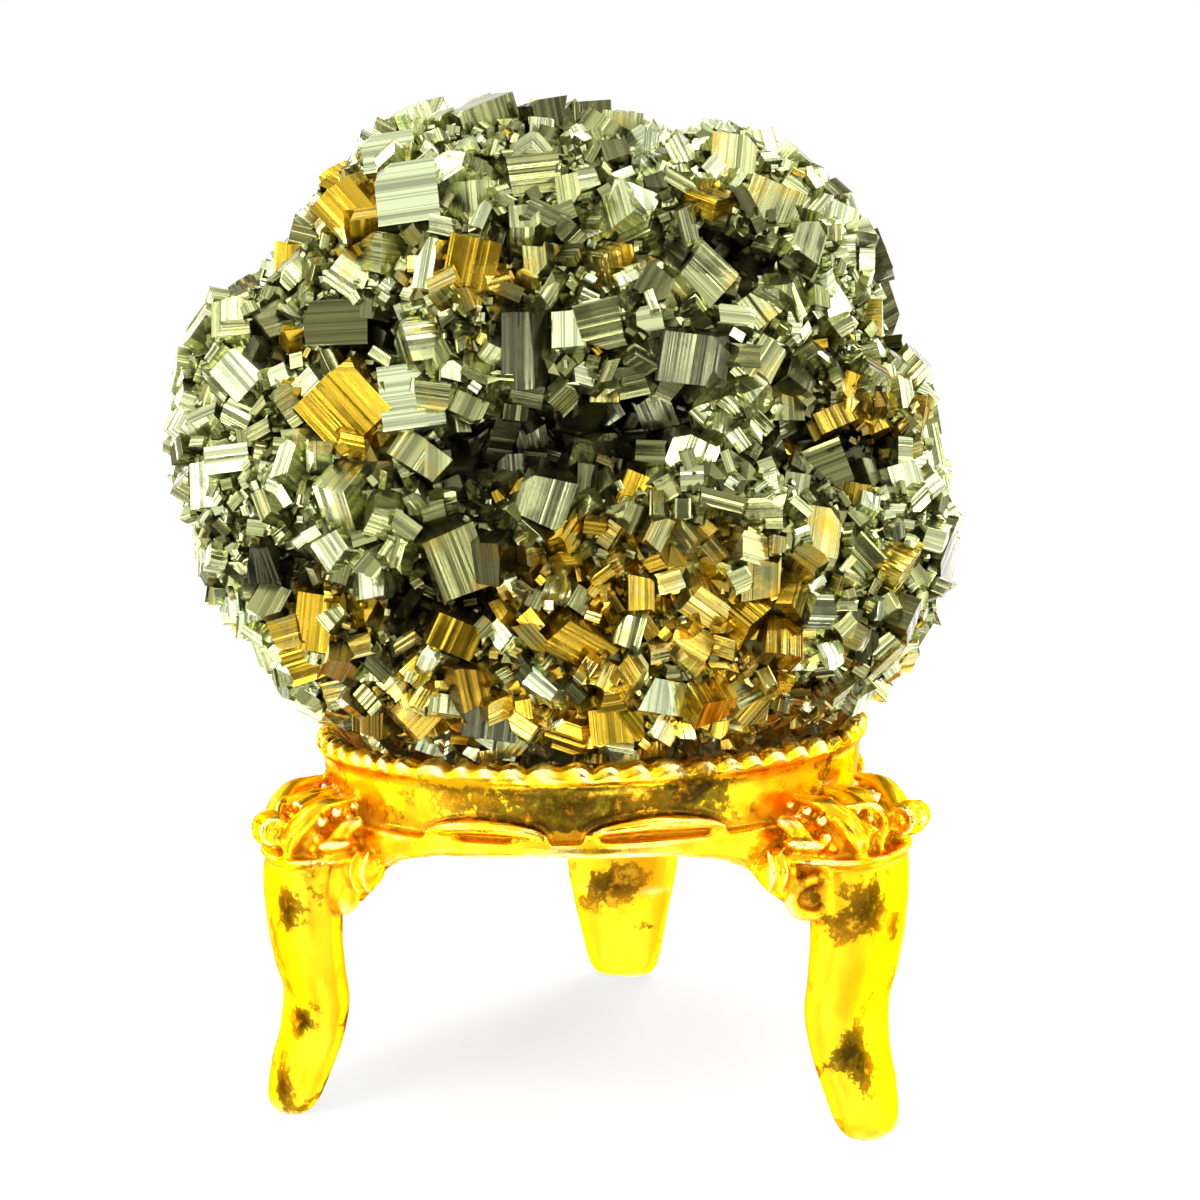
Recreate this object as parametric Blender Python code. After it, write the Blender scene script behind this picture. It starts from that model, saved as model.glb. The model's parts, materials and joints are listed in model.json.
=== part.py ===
# Pyrite cluster resting in a cast, gold-plated three-legged stand.
# Metres, +Z up. The origin is the centre of the object's footprint, on the surface that it stands on.
# Until the last step the ring's axis is the Z axis, and the front of the object faces -Y.
import math
import random

import bmesh
import bpy
from mathutils import Matrix, Vector, noise
from mathutils.bvhtree import BVHTree

# Stand: the ring
RIM_RADIUS = 0.0209
RIM_HEIGHT = 0.0272
BAND_RADIUS = 0.0200
BAND_BOTTOM = 0.0214
HOLE_RADIUS = 0.0160
SEAT_TOP_RADIUS = 0.0194
SEAT_LOW_HEIGHT = 0.0236
BEAD_COUNT = 30
BEAD_LIFT = 0.0004
STEPS_PER_BEAD = 2
# The casting is a little uneven: the ring rises towards +X. The slope fades out down the legs.
RING_SLOPE = 0.030
SLOPE_HEIGHT = 0.0160

# Stand: the legs. The stand is turned a little, so the rear leg stands right of centre.
LEG_ANGLES = [math.radians(a - 7.3) for a in (-30, 90, 210)]
# Height, distance from the ring's axis, width across, thickness
LEG_STATIONS = [
    (0.0196, 0.0219, 0.0100, 0.0048),
    (0.0170, 0.0224, 0.0094, 0.0043),
    (0.0138, 0.0223, 0.0090, 0.0038),
    (0.0106, 0.0219, 0.0084, 0.0035),
    (0.0084, 0.0217, 0.0074, 0.0033),
    (0.0056, 0.0222, 0.0063, 0.0032),
    (0.0032, 0.0231, 0.0056, 0.0032),
    (0.0014, 0.0237, 0.0050, 0.0030),
    (0.0004, 0.0240, 0.0038, 0.0024),
    (0.0000, 0.0240, 0.0026, 0.0017),
]
LEG_SIDES = 10
LEG_SQUARENESS = 2.8

# Stand: the knee ornament, as distance from the ring's axis, sideways offset and height
KNEE_CENTRE = (0.0216, 0.0, 0.0210)
KNEE_HALF = (0.0036, 0.0060, 0.0029)
VOLUTE_CENTRE = (0.0240, 0.0213)
VOLUTE_RADIUS = 0.0019
VOLUTE_LENGTH = 0.0066
RIB_RADIUS = 0.0010
RIBS = [
    ((0.0199, 0.0064, 0.0229), (0.0221, 0.0066, 0.0192)),
    ((0.0222, 0.0040, 0.0230), (0.0238, 0.0054, 0.0192)),
]
# Centre and radius of the lobes that step down from the apron to the leg, on both sides
LOBES = [
    ((0.0194, 0.0078, 0.0196), 0.0016),
    ((0.0206, 0.0058, 0.0169), 0.0016),
]

# Stand: the apron between the legs
APRON_RADIUS = 0.0201
APRON_HALF_THICKNESS = 0.0008
APRON_HALF_ANGLE = math.radians(50)
APRON_TOP = 0.0222
APRON_BOTTOM = 0.0211
# The drop of the lower edge, against the share of the way from the middle of the bay to its end
APRON_EDGE = [(0.0, 0.0), (0.45, 0.0002), (0.66, 0.0010), (0.80, 0.0022), (0.90, 0.0040), (1.0, 0.0052)]
LEAF_RISE = 0.0013
LEAF_RADIUS = 0.00055
LEAF_STEPS = 5

# Cluster: its outline from the front, about the ring's axis
OUTLINE = [
    (0.000, 0.0222),
    (0.0140, 0.0226),
    (0.0182, 0.0258),
    (0.0196, 0.0288),
    (0.0230, 0.0325),
    (0.0262, 0.0385),
    (0.0270, 0.0430),
    (0.0254, 0.0470),
    (0.0262, 0.0512),
    (0.0226, 0.0556),
    (0.0210, 0.0580),
    (0.0216, 0.0625),
    (0.0178, 0.0676),
    (0.0132, 0.0704),
    (0.0036, 0.0715),
    (-0.0060, 0.0722),
    (-0.0114, 0.0730),
    (-0.0155, 0.0720),
    (-0.0192, 0.0676),
    (-0.0238, 0.0618),
    (-0.0285, 0.0576),
    (-0.0313, 0.0522),
    (-0.0315, 0.0460),
    (-0.0284, 0.0385),
    (-0.0247, 0.0336),
    (-0.0212, 0.0284),
    (-0.0190, 0.0256),
    (-0.0140, 0.0226),
]
CLUSTER_CENTRE = Vector((-0.0020, -0.0005, 0.0490))
CLUSTER_HALF_DEPTH = 0.0215
# How square the depth profile is: above the centre, and towards the seat, where the mass fills the ring
UPPER_FULLNESS = 2.4
LOWER_FULLNESS = 5.5
CRYSTAL_COVER = 0.0013
LUMP_DETAIL = 3
BUMP_SIZE = 0.0085
BUMP_HEIGHT = 0.0011
SEAT_GAP = 0.0004

# Clefts in the front: place, half width, half height, depth and the slope of the cleft
CLEFTS = [
    ((-0.0020, 0.0485), 0.0095, 0.0024, 0.0055, 8),
    ((0.0155, 0.0477), 0.0042, 0.0021, 0.0045, -12),
    ((0.0082, 0.0602), 0.0032, 0.0021, 0.0040, 0),
    ((-0.0100, 0.0382), 0.0036, 0.0016, 0.0032, 10),
    ((-0.0205, 0.0395), 0.0030, 0.0016, 0.0030, -15),
    ((-0.0142, 0.0548), 0.0022, 0.0020, 0.0032, 0),
]

# Large crystals on the front: place, width, height, turn in degrees, and lean to the viewer's right and up
FRONT_CRYSTALS = [
    ((-0.0120, 0.0640), 0.0041, 0.0042, 8, -6, 14),
    ((-0.0136, 0.0673), 0.0036, 0.0028, 8, -10, 18),
    ((-0.0160, 0.0640), 0.0038, 0.0036, 44, -14, -4),
    ((-0.0178, 0.0662), 0.0027, 0.0026, 42, -20, -6),
    ((-0.0079, 0.0599), 0.0033, 0.0031, -12, 4, -6),
    ((-0.0207, 0.0604), 0.0020, 0.0031, -8, -22, -4),
    ((-0.0159, 0.0508), 0.0048, 0.0044, 42, -8, -8),
    ((-0.0116, 0.0508), 0.0041, 0.0043, 8, -4, 14),
    ((-0.0043, 0.0546), 0.0038, 0.0050, 2, 10, -16),
    ((0.0027, 0.0637), 0.0030, 0.0023, -14, -18, 12),
    ((0.0066, 0.0587), 0.0046, 0.0030, 48, 12, -8),
    ((0.0062, 0.0541), 0.0046, 0.0033, -6, 6, -18),
    ((0.0110, 0.0534), 0.0027, 0.0028, -34, 14, 2),
    ((0.0085, 0.0511), 0.0044, 0.0028, 46, 8, -10),
    ((-0.0014, 0.0552), 0.0022, 0.0024, 4, -12, 16),
    ((0.0006, 0.0519), 0.0019, 0.0022, 0, 4, 6),
    ((-0.0173, 0.0366), 0.0039, 0.0038, -8, -8, -4),
    ((-0.0145, 0.0391), 0.0026, 0.0021, 12, -20, 10),
    ((-0.0224, 0.0359), 0.0032, 0.0023, -4, -18, 4),
    ((-0.0090, 0.0360), 0.0031, 0.0022, -24, 6, -6),
    ((0.0030, 0.0448), 0.0031, 0.0026, -22, 6, 2),
    ((-0.0047, 0.0447), 0.0031, 0.0020, 26, -10, 8),
    ((0.0045, 0.0318), 0.0030, 0.0022, -6, -16, 12),
    ((0.0015, 0.0301), 0.0036, 0.0024, 6, 2, -8),
    ((0.0143, 0.0424), 0.0031, 0.0032, -10, 10, 8),
    ((0.0125, 0.0345), 0.0028, 0.0024, 2, 16, 6),
    ((0.0177, 0.0511), 0.0038, 0.0028, -20, 20, 4),
    ((0.0117, 0.0643), 0.0040, 0.0026, -20, 12, -6),
    ((0.0092, 0.0674), 0.0031, 0.0028, -6, 8, 4),
    ((-0.0231, 0.0528), 0.0032, 0.0030, 46, -18, 8),
    ((-0.0243, 0.0564), 0.0028, 0.0026, 12, -24, 18),
    ((-0.0256, 0.0452), 0.0024, 0.0032, 10, -26, 12),
    ((-0.0218, 0.0404), 0.0025, 0.0024, 2, -16, -12),
    ((-0.0066, 0.0306), 0.0037, 0.0029, -8, -4, -14),
    ((-0.0112, 0.0473), 0.0036, 0.0021, -32, -4, 16),
    ((0.0107, 0.0571), 0.0026, 0.0022, 38, 10, 4),
    ((0.0158, 0.0578), 0.0027, 0.0026, 20, 18, 16),
    ((0.0205, 0.0455), 0.0026, 0.0026, 14, 26, 10),
]
# How far a front crystal stands out, as a share of its smaller side
FRONT_STAND_OUT = 0.42

# Crystals all round: how many, smallest and largest edge
CRYSTAL_SIZES = [
    (42, 0.0046, 0.0060),
    (66, 0.0036, 0.0046),
    (58, 0.0028, 0.0036),
]
PLACES_TRIED = 14
# How far a crystal's outer face tips over
TIP = (math.radians(5), math.radians(50))
# How far a crystal's highest corner stands out of the mass
STAND_OUT = (0.0010, 0.0022)
CRYSTAL_SEED = 11
EDGE_SAMPLES = 6

PYRITE = ("pyrite", (0.60, 0.55, 0.33), 0.24)
GOLD = ("gold_plate", (0.95, 0.66, 0.06), 0.18)


def clear_scene():
    for old in list(bpy.data.objects):
        bpy.data.objects.remove(old)


def make_material(name, colour, roughness):
    material = bpy.data.materials.new(name)
    material.use_nodes = True
    shader = material.node_tree.nodes["Principled BSDF"]
    shader.inputs["Base Color"].default_value = (*colour, 1)
    shader.inputs["Metallic"].default_value = 1
    shader.inputs["Roughness"].default_value = roughness
    return material


def make_object(name, mesh_data):
    mesh = bpy.data.meshes.new(name)
    bmesh.ops.recalc_face_normals(mesh_data, faces=mesh_data.faces)
    mesh_data.to_mesh(mesh)
    mesh_data.free()
    made = bpy.data.objects.new(name, mesh)
    bpy.context.scene.collection.objects.link(made)
    return made


def fuse(target, pieces, self_overlaps=False):
    # One body from the target and all the pieces; the pieces are then removed.
    group = bpy.data.collections.new("pieces")
    bpy.context.scene.collection.children.link(group)
    for piece in pieces:
        bpy.context.scene.collection.objects.unlink(piece)
        group.objects.link(piece)
    union = target.modifiers.new("union", "BOOLEAN")
    union.operation = "UNION"
    union.operand_type = "COLLECTION"
    union.collection = group
    union.solver = "EXACT"
    union.use_self = self_overlaps
    graph = bpy.context.evaluated_depsgraph_get()
    fused = bpy.data.meshes.new_from_object(target.evaluated_get(graph))
    target.modifiers.clear()
    target.data = fused
    for piece in pieces:
        bpy.data.objects.remove(piece)
    bpy.data.collections.remove(group)


def loft(mesh_data, loops, closed):
    # Joins loops of points with quads. Open lofts get end caps.
    rows = [[mesh_data.verts.new(p) for p in loop] for loop in loops]
    pairs = list(zip(rows, rows[1:]))
    if closed:
        pairs.append((rows[-1], rows[0]))
    for row, after in pairs:
        for i in range(len(row)):
            j = (i + 1) % len(row)
            mesh_data.faces.new((row[i], row[j], after[j], after[i]))
    if not closed:
        mesh_data.faces.new(rows[0])
        mesh_data.faces.new(rows[-1])


def at_leg(angle, out, side, up):
    # A point given by its distance from the ring's axis, its sideways offset and its height.
    along = Vector((math.cos(angle), math.sin(angle), 0))
    across = Vector((-math.sin(angle), math.cos(angle), 0))
    return along * out + across * side + Vector((0, 0, up))


def leg_matrix(angle, centre):
    return Matrix.Translation(at_leg(angle, *centre)) @ Matrix.Rotation(angle, 4, "Z")


def slope_rise(x, height):
    # How far the uneven casting lifts a point
    share = min(max(height / SLOPE_HEIGHT, 0), 1)
    return x * RING_SLOPE * share * share * (3 - 2 * share)


def build_ring():
    steps = BEAD_COUNT * STEPS_PER_BEAD
    loops = []
    for step in range(steps):
        angle = 2 * math.pi * step / steps
        lift = BEAD_LIFT if step % STEPS_PER_BEAD == 0 else -BEAD_LIFT / 2
        profile = [
            (RIM_RADIUS + lift / 2, RIM_HEIGHT - 0.0006),
            (RIM_RADIUS - 0.0005, RIM_HEIGHT + lift),
            (SEAT_TOP_RADIUS, RIM_HEIGHT),
            (HOLE_RADIUS, SEAT_LOW_HEIGHT),
            (HOLE_RADIUS, BAND_BOTTOM),
            (BAND_RADIUS - 0.0002, BAND_BOTTOM),
            (BAND_RADIUS, RIM_HEIGHT - 0.0012),
        ]
        loops.append([Vector((r * math.cos(angle), r * math.sin(angle), z)) for r, z in profile])
    mesh_data = bmesh.new()
    loft(mesh_data, loops, closed=True)
    return make_object("stand", mesh_data)


def superellipse(index, sides, half_out, half_side):
    turn = 2 * math.pi * (index + 0.5) / sides
    c, s = math.cos(turn), math.sin(turn)
    power = 2 / LEG_SQUARENESS
    return math.copysign(abs(c) ** power, c) * half_out, math.copysign(abs(s) ** power, s) * half_side


def build_leg(angle):
    loops = []
    for height, out, width, thickness in LEG_STATIONS:
        section = [superellipse(i, LEG_SIDES, thickness / 2, width / 2) for i in range(LEG_SIDES)]
        loops.append([at_leg(angle, out + du, dv, height) for du, dv in section])
    mesh_data = bmesh.new()
    loft(mesh_data, loops, closed=False)
    return make_object("leg", mesh_data)


def build_ball(matrix, radii, sides, rings):
    mesh_data = bmesh.new()
    stretch = matrix @ Matrix.Diagonal((*radii, 1))
    bmesh.ops.create_uvsphere(mesh_data, u_segments=sides, v_segments=rings, radius=1, matrix=stretch)
    return make_object("ball", mesh_data)


def build_rod(points, radius, sides, tip=0.45):
    # A rod along the points, its ends drawn in to blunt tips.
    mesh_data = bmesh.new()
    loops = []
    last = len(points) - 1
    for i, point in enumerate(points):
        forward = (points[min(i + 1, last)] - points[max(i - 1, 0)]).normalized()
        across = forward.cross(Vector((0, 0, 1)))
        if across.length < 0.1:
            across = forward.cross(Vector((1, 0, 0)))
        across.normalize()
        upward = across.cross(forward)
        size = radius * (tip if i in (0, last) else 1)
        turns = [2 * math.pi * k / sides for k in range(sides)]
        loops.append([point + (across * math.cos(t) + upward * math.sin(t)) * size for t in turns])
    loft(mesh_data, loops, closed=False)
    return make_object("rod", mesh_data)


def points_between(first, last, shares):
    return [first.lerp(last, share) for share in shares]


def build_knee(angle):
    # The rounded block, the volute in front of it, the ribs and the lobes
    made = [build_ball(leg_matrix(angle, KNEE_CENTRE), KNEE_HALF, 10, 5)]
    out, up = VOLUTE_CENTRE
    half = VOLUTE_LENGTH / 2
    ends = at_leg(angle, out, -half, up), at_leg(angle, out, half, up)
    made.append(build_rod(points_between(*ends, (0, 0.12, 0.88, 1)), VOLUTE_RADIUS, 9, tip=0.6))
    for side in (-1, 1):
        for first, last in RIBS:
            ends = [at_leg(angle, p[0], p[1] * side, p[2]) for p in (first, last)]
            made.append(build_rod(points_between(*ends, (0, 0.3, 1)), RIB_RADIUS, 5))
        for (lobe_out, lobe_side, lobe_up), radius in LOBES:
            place = leg_matrix(angle, (lobe_out, lobe_side * side, lobe_up))
            made.append(build_ball(place, (radius * 0.8, radius, radius), 7, 4))
    return made


def build_apron(middle):
    # A curved strip under the ring whose lower edge drops to the legs, and two leaf-shaped lips over it
    loops = []
    for share, drop in [(-s, d) for s, d in reversed(APRON_EDGE[1:])] + APRON_EDGE:
        angle = middle + share * APRON_HALF_ANGLE
        low = APRON_BOTTOM - drop
        section = [
            (APRON_RADIUS - APRON_HALF_THICKNESS, low + 0.0004),
            (APRON_RADIUS, low),
            (APRON_RADIUS + APRON_HALF_THICKNESS, low + 0.0005),
            (APRON_RADIUS + APRON_HALF_THICKNESS * 0.8, APRON_TOP - 0.0003),
            (APRON_RADIUS - APRON_HALF_THICKNESS, APRON_TOP),
        ]
        loops.append([Vector((r * math.cos(angle), r * math.sin(angle), z)) for r, z in section])
    mesh_data = bmesh.new()
    loft(mesh_data, loops, closed=False)
    made = [make_object("apron", mesh_data)]
    for side in (-1, 1):
        points = []
        for step in range(LEAF_STEPS + 1):
            share = step / LEAF_STEPS
            angle = middle + side * (0.02 + 0.66 * share) * APRON_HALF_ANGLE
            height = APRON_TOP - 0.0002 + LEAF_RISE * math.sin(math.pi * share) ** 0.8
            reach = BAND_RADIUS + LEAF_RADIUS * 0.5
            points.append(Vector((reach * math.cos(angle), reach * math.sin(angle), height)))
        made.append(build_rod(points, LEAF_RADIUS, 5))
    return made


def build_stand():
    ring = build_ring()
    pieces = []
    for angle in LEG_ANGLES:
        pieces.append(build_leg(angle))
        pieces += build_knee(angle)
        pieces += build_apron(angle + math.radians(60))
    fuse(ring, pieces)
    for vert in ring.data.vertices:
        vert.co.z += slope_rise(vert.co.x, vert.co.z)
    return ring


def outline_reach(turn):
    # The outline's distance from the cluster's centre in a direction in the front plane
    marks = []
    for x, z in OUTLINE:
        dx, dz = x - CLUSTER_CENTRE.x, z - CLUSTER_CENTRE.z
        marks.append((math.atan2(dz, dx), math.hypot(dx, dz)))
    marks.sort()
    before = (marks[-1][0] - 2 * math.pi, marks[-1][1])
    after = (marks[0][0] + 2 * math.pi, marks[0][1])
    marks = [before] + marks + [after]
    for (a, reach_a), (b, reach_b) in zip(marks, marks[1:]):
        if a <= turn <= b:
            share = (turn - a) / (b - a)
            share = share * share * (3 - 2 * share)
            return reach_a + (reach_b - reach_a) * share
    return marks[0][1]


def cone_radius(point):
    # The seat's inner radius at a point's height, its cone carried on above the rim
    height = point.z - point.x * RING_SLOPE
    share = (height - SEAT_LOW_HEIGHT) / (RIM_HEIGHT - SEAT_LOW_HEIGHT)
    return HOLE_RADIUS + (SEAT_TOP_RADIUS - HOLE_RADIUS) * max(share, 0)


def above_ring(point):
    return point.z - point.x * RING_SLOPE > RIM_HEIGHT + BEAD_LIFT + SEAT_GAP


def cleft_depth(point):
    depth = 0
    for (x, z), half_width, half_height, deep, slope in CLEFTS:
        lean = math.radians(slope)
        dx, dz = point.x - x, point.z - z
        along = (dx * math.cos(lean) + dz * math.sin(lean)) / half_width
        over = (dz * math.cos(lean) - dx * math.sin(lean)) / half_height
        depth = max(depth, deep * math.exp(-(along ** 4) - over ** 2))
    return depth


def lump_point(direction):
    # The bare mass under the crystals: the outline in the front plane, a full round in depth
    flat = math.hypot(direction.x, direction.z)
    lower = min(max(-direction.z / 0.6, 0), 1)
    power = UPPER_FULLNESS + (LOWER_FULLNESS - UPPER_FULLNESS) * lower
    grow = (flat ** power + abs(direction.y) ** power) ** (-1 / power)
    reach = outline_reach(math.atan2(direction.z, direction.x)) - CRYSTAL_COVER
    offset = Vector((direction.x * reach, direction.y * CLUSTER_HALF_DEPTH, direction.z * reach)) * grow
    point = CLUSTER_CENTRE + offset
    bump = noise.noise(point / BUMP_SIZE) * BUMP_HEIGHT
    point += offset.normalized() * bump
    if direction.y < 0:
        point.y += cleft_depth(point)
    limit = cone_radius(point) - SEAT_GAP
    beyond = math.hypot(point.x, point.y) / limit
    if beyond > 1:
        point.x /= beyond
        point.y /= beyond
    return point


def build_lump():
    mesh_data = bmesh.new()
    bmesh.ops.create_icosphere(mesh_data, subdivisions=LUMP_DETAIL, radius=1)
    for vert in mesh_data.verts:
        vert.co = lump_point(vert.co.normalized())
    return make_object("pyrite_cluster", mesh_data)


def crystal_corners(matrix, size):
    halves = [(x, y, z) for x in (-0.5, 0.5) for y in (-0.5, 0.5) for z in (-0.5, 0.5)]
    return [matrix @ Vector((x * size[0], y * size[1], z * size[2])) for x, y, z in halves]


def clears_ring(matrix, size):
    corners = crystal_corners(matrix, size)
    for i, first in enumerate(corners):
        for last in corners[i + 1 :]:
            for step in range(EDGE_SAMPLES + 1):
                point = first.lerp(last, step / EDGE_SAMPLES)
                reach = math.hypot(point.x, point.y)
                if reach > cone_radius(point) - SEAT_GAP and not above_ring(point):
                    return False
    return True


def front_crystals(surface):
    # The crystals that show on the front, each pushed back along Y until it sits in the mass
    placed = []
    for (x, z), width, height, turn, lean_right, lean_up in FRONT_CRYSTALS:
        hit = surface.ray_cast(Vector((x, -1, z)), Vector((0, 1, 0)))[0]
        thickness = min(width, height)
        spin = Matrix.Rotation(math.radians(lean_right), 4, "Z")
        spin = spin @ Matrix.Rotation(math.radians(-lean_up), 4, "X")
        spin = spin @ Matrix.Rotation(math.radians(-turn), 4, "Y")
        centre = hit + Vector((0, thickness * (0.5 - FRONT_STAND_OUT), 0))
        placed.append((Matrix.Translation(centre) @ spin, (width, thickness, height)))
    return placed


def outward_turn(dice, normal):
    # One face looks out along the normal, then tips over in a random direction.
    spin = Matrix.Rotation(dice.uniform(0, 2 * math.pi), 4, "Z")
    tip_axis = Matrix.Rotation(dice.uniform(0, 2 * math.pi), 4, "Z") @ Vector((1, 0, 0))
    tip = Matrix.Rotation(dice.uniform(*TIP), 4, tip_axis)
    return normal.to_track_quat("Z", "Y").to_matrix().to_4x4() @ tip @ spin


def random_crystal(dice, surface, smallest, largest):
    edge = dice.uniform(smallest, largest)
    size = (edge, edge * dice.uniform(0.6, 1.0), edge * 0.8)
    direction = Vector((dice.gauss(0, 1), dice.gauss(0, 1), dice.gauss(0, 1))).normalized()
    point, normal = surface.ray_cast(CLUSTER_CENTRE, direction)[:2]
    if normal.dot(direction) < 0:
        normal.negate()
    turn = outward_turn(dice, (normal + direction).normalized())
    reach = max(corner.dot(normal) for corner in crystal_corners(turn, size))
    centre = point + normal * (dice.uniform(*STAND_OUT) - reach)
    return Matrix.Translation(centre) @ turn, size


def random_crystals(surface, placed):
    # Crystals all round, the large ones first, each in the emptiest of the places tried for it
    dice = random.Random(CRYSTAL_SEED)
    taken = [matrix.to_translation() for matrix, size in placed]
    for count, smallest, largest in CRYSTAL_SIZES:
        for made in range(count):
            best = None
            for attempt in range(PLACES_TRIED):
                matrix, size = random_crystal(dice, surface, smallest, largest)
                centre = matrix.to_translation()
                room = min((centre - other).length for other in taken)
                if (best is None or room > best[0]) and clears_ring(matrix, size):
                    best = (room, centre, matrix, size)
            if best:
                taken.append(best[1])
                placed.append(best[2:])


def build_cluster():
    lump = build_lump()
    surface = BVHTree.FromPolygons(
        [v.co.copy() for v in lump.data.vertices], [tuple(p.vertices) for p in lump.data.polygons]
    )
    placed = front_crystals(surface)
    random_crystals(surface, placed)
    mesh_data = bmesh.new()
    for matrix, size in placed:
        bmesh.ops.create_cube(mesh_data, size=1, matrix=matrix @ Matrix.Diagonal((*size, 1)))
    fuse(lump, [make_object("crystals", mesh_data)], self_overlaps=True)
    return lump


def centre_footprint(objects):
    corners = [v.co for item in objects for v in item.data.vertices]
    middle = [(min(c[k] for c in corners) + max(c[k] for c in corners)) / 2 for k in (0, 1)]
    for item in objects:
        item.data.transform(Matrix.Translation((-middle[0], -middle[1], 0)))


def main():
    clear_scene()
    stand = build_stand()
    cluster = build_cluster()
    stand.data.materials.clear()
    stand.data.materials.append(make_material(*GOLD))
    cluster.data.materials.clear()
    cluster.data.materials.append(make_material(*PYRITE))
    centre_footprint([stand, cluster])
    stand.data.shade_smooth()
    stand.data.set_sharp_from_angle(angle=math.radians(40))


main()
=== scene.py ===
# A rounded pyrite cluster resting in a cast, gold-plated ring stand
import json
import math
import random

import bmesh
import bpy
import numpy as np
from mathutils import Matrix, Vector, noise
from mathutils.bvhtree import BVHTree


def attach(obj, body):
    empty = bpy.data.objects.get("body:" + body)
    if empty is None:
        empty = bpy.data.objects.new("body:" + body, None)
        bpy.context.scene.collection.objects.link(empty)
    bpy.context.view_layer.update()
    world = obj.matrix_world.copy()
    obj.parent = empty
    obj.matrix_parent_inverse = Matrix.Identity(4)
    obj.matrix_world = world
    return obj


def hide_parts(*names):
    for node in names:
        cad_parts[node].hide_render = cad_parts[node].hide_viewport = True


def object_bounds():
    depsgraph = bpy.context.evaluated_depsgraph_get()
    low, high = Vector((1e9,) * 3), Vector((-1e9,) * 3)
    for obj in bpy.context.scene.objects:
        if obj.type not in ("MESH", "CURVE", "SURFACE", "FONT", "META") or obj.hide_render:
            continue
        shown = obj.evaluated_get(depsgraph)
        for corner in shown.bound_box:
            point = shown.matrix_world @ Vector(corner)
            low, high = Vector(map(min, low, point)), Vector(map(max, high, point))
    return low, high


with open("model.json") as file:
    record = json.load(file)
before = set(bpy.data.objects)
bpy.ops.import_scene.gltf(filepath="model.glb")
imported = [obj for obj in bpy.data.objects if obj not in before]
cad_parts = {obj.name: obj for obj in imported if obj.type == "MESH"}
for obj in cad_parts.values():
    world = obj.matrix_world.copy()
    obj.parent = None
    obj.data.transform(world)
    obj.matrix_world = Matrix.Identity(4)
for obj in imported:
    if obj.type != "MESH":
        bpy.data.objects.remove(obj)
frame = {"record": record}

mm = 0.001
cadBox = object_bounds()
feet = [Vector(mount["pos_m"]) for mount in frame["record"]["mounts"]]
ringAxis = sum(feet, Vector()) / len(feet)
print("frame loaded, ring axis at", ringAxis)


# Small helpers for modelling in edit mode

def selectNothing():
    if bpy.context.object and bpy.context.object.mode != "OBJECT":
        bpy.ops.object.mode_set(mode="OBJECT")
    bpy.ops.object.select_all(action="DESELECT")


def startEditing():
    piece = bpy.context.object
    bpy.ops.object.mode_set(mode="EDIT")
    bpy.context.tool_settings.mesh_select_mode = (True, False, False)
    bpy.ops.mesh.select_all(action="SELECT")
    return piece


def endEditing():
    bpy.ops.mesh.select_all(action="SELECT")
    bpy.ops.mesh.normals_make_consistent(inside=False)
    bpy.ops.object.mode_set(mode="OBJECT")


def startCube(name):
    selectNothing()
    bpy.ops.mesh.primitive_cube_add(size=1)
    piece = startEditing()
    piece.name = name
    return piece


def addObject(name, data):
    piece = bpy.data.objects.new(name, data)
    bpy.context.scene.collection.objects.link(piece)
    return piece


def countTriangles(piece):
    return sum(len(face.vertices) - 2 for face in piece.data.polygons)


def pickVerts(piece, wanted):
    shape = bmesh.from_edit_mesh(piece.data)
    for vert in shape.verts:
        vert.select = bool(wanted(vert.co))
    shape.select_flush(True)
    shape.select_flush(False)
    bmesh.update_edit_mesh(piece.data)


def shiftVerts(piece, wanted, step):
    pickVerts(piece, wanted)
    bpy.ops.transform.translate(value=step)


def cutAcross(places, along):
    # cuts what is selected by planes across one axis
    for place in places:
        point, normal = [0, 0, 0], [0, 0, 0]
        point[along], normal[along] = place, 1
        bpy.ops.mesh.bisect(plane_co=point, plane_no=normal, threshold=1e-5)


def clipCorner(normal, distance):
    bpy.ops.mesh.select_all(action="SELECT")
    normal = Vector(normal).normalized()
    bpy.ops.mesh.bisect(plane_co=normal * distance, plane_no=normal, use_fill=True, clear_outer=True)


# Cluster: its mass, in metres about the ring's axis, as the solid has it

mass = {
    "outline": [
        (0, 22.2), (14, 22.6), (18.2, 25.8), (19.6, 28.8), (23, 32.5), (26.2, 38.5), (27, 43), (25.4, 47),
        (26.2, 51.2), (22.6, 55.6), (21, 58), (21.6, 62.5), (17.8, 67.6), (13.2, 70.4), (3.6, 71.5),
        (-6, 72.2), (-11.4, 73), (-15.5, 72), (-19.2, 67.6), (-23.8, 61.8), (-28.5, 57.6), (-31.3, 52.2),
        (-31.5, 46), (-28.4, 38.5), (-24.7, 33.6), (-21.2, 28.4), (-19, 25.6), (-14, 22.6),
    ],
    "centre": Vector((-2, -0.5, 49)) * mm,
    "halfDepth": 21.5 * mm,
    "upperFullness": 2.4,
    "lowerFullness": 5.5,
    "crystalCover": 1.3 * mm,
    "bumpSize": 8.5 * mm,
    "bumpHeight": 1.1 * mm,
    "seatGap": 0.4 * mm,
    # how steep the underside is where it is as full as it gets
    "underside": 0.6,
}
seat = {
    "rimHeight": 27.2 * mm,
    "rimLift": 0.4 * mm,
    "topRadius": 19.4 * mm,
    "lowHeight": 23.6 * mm,
    "holeRadius": 16 * mm,
    "slope": 0.03,
}
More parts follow.
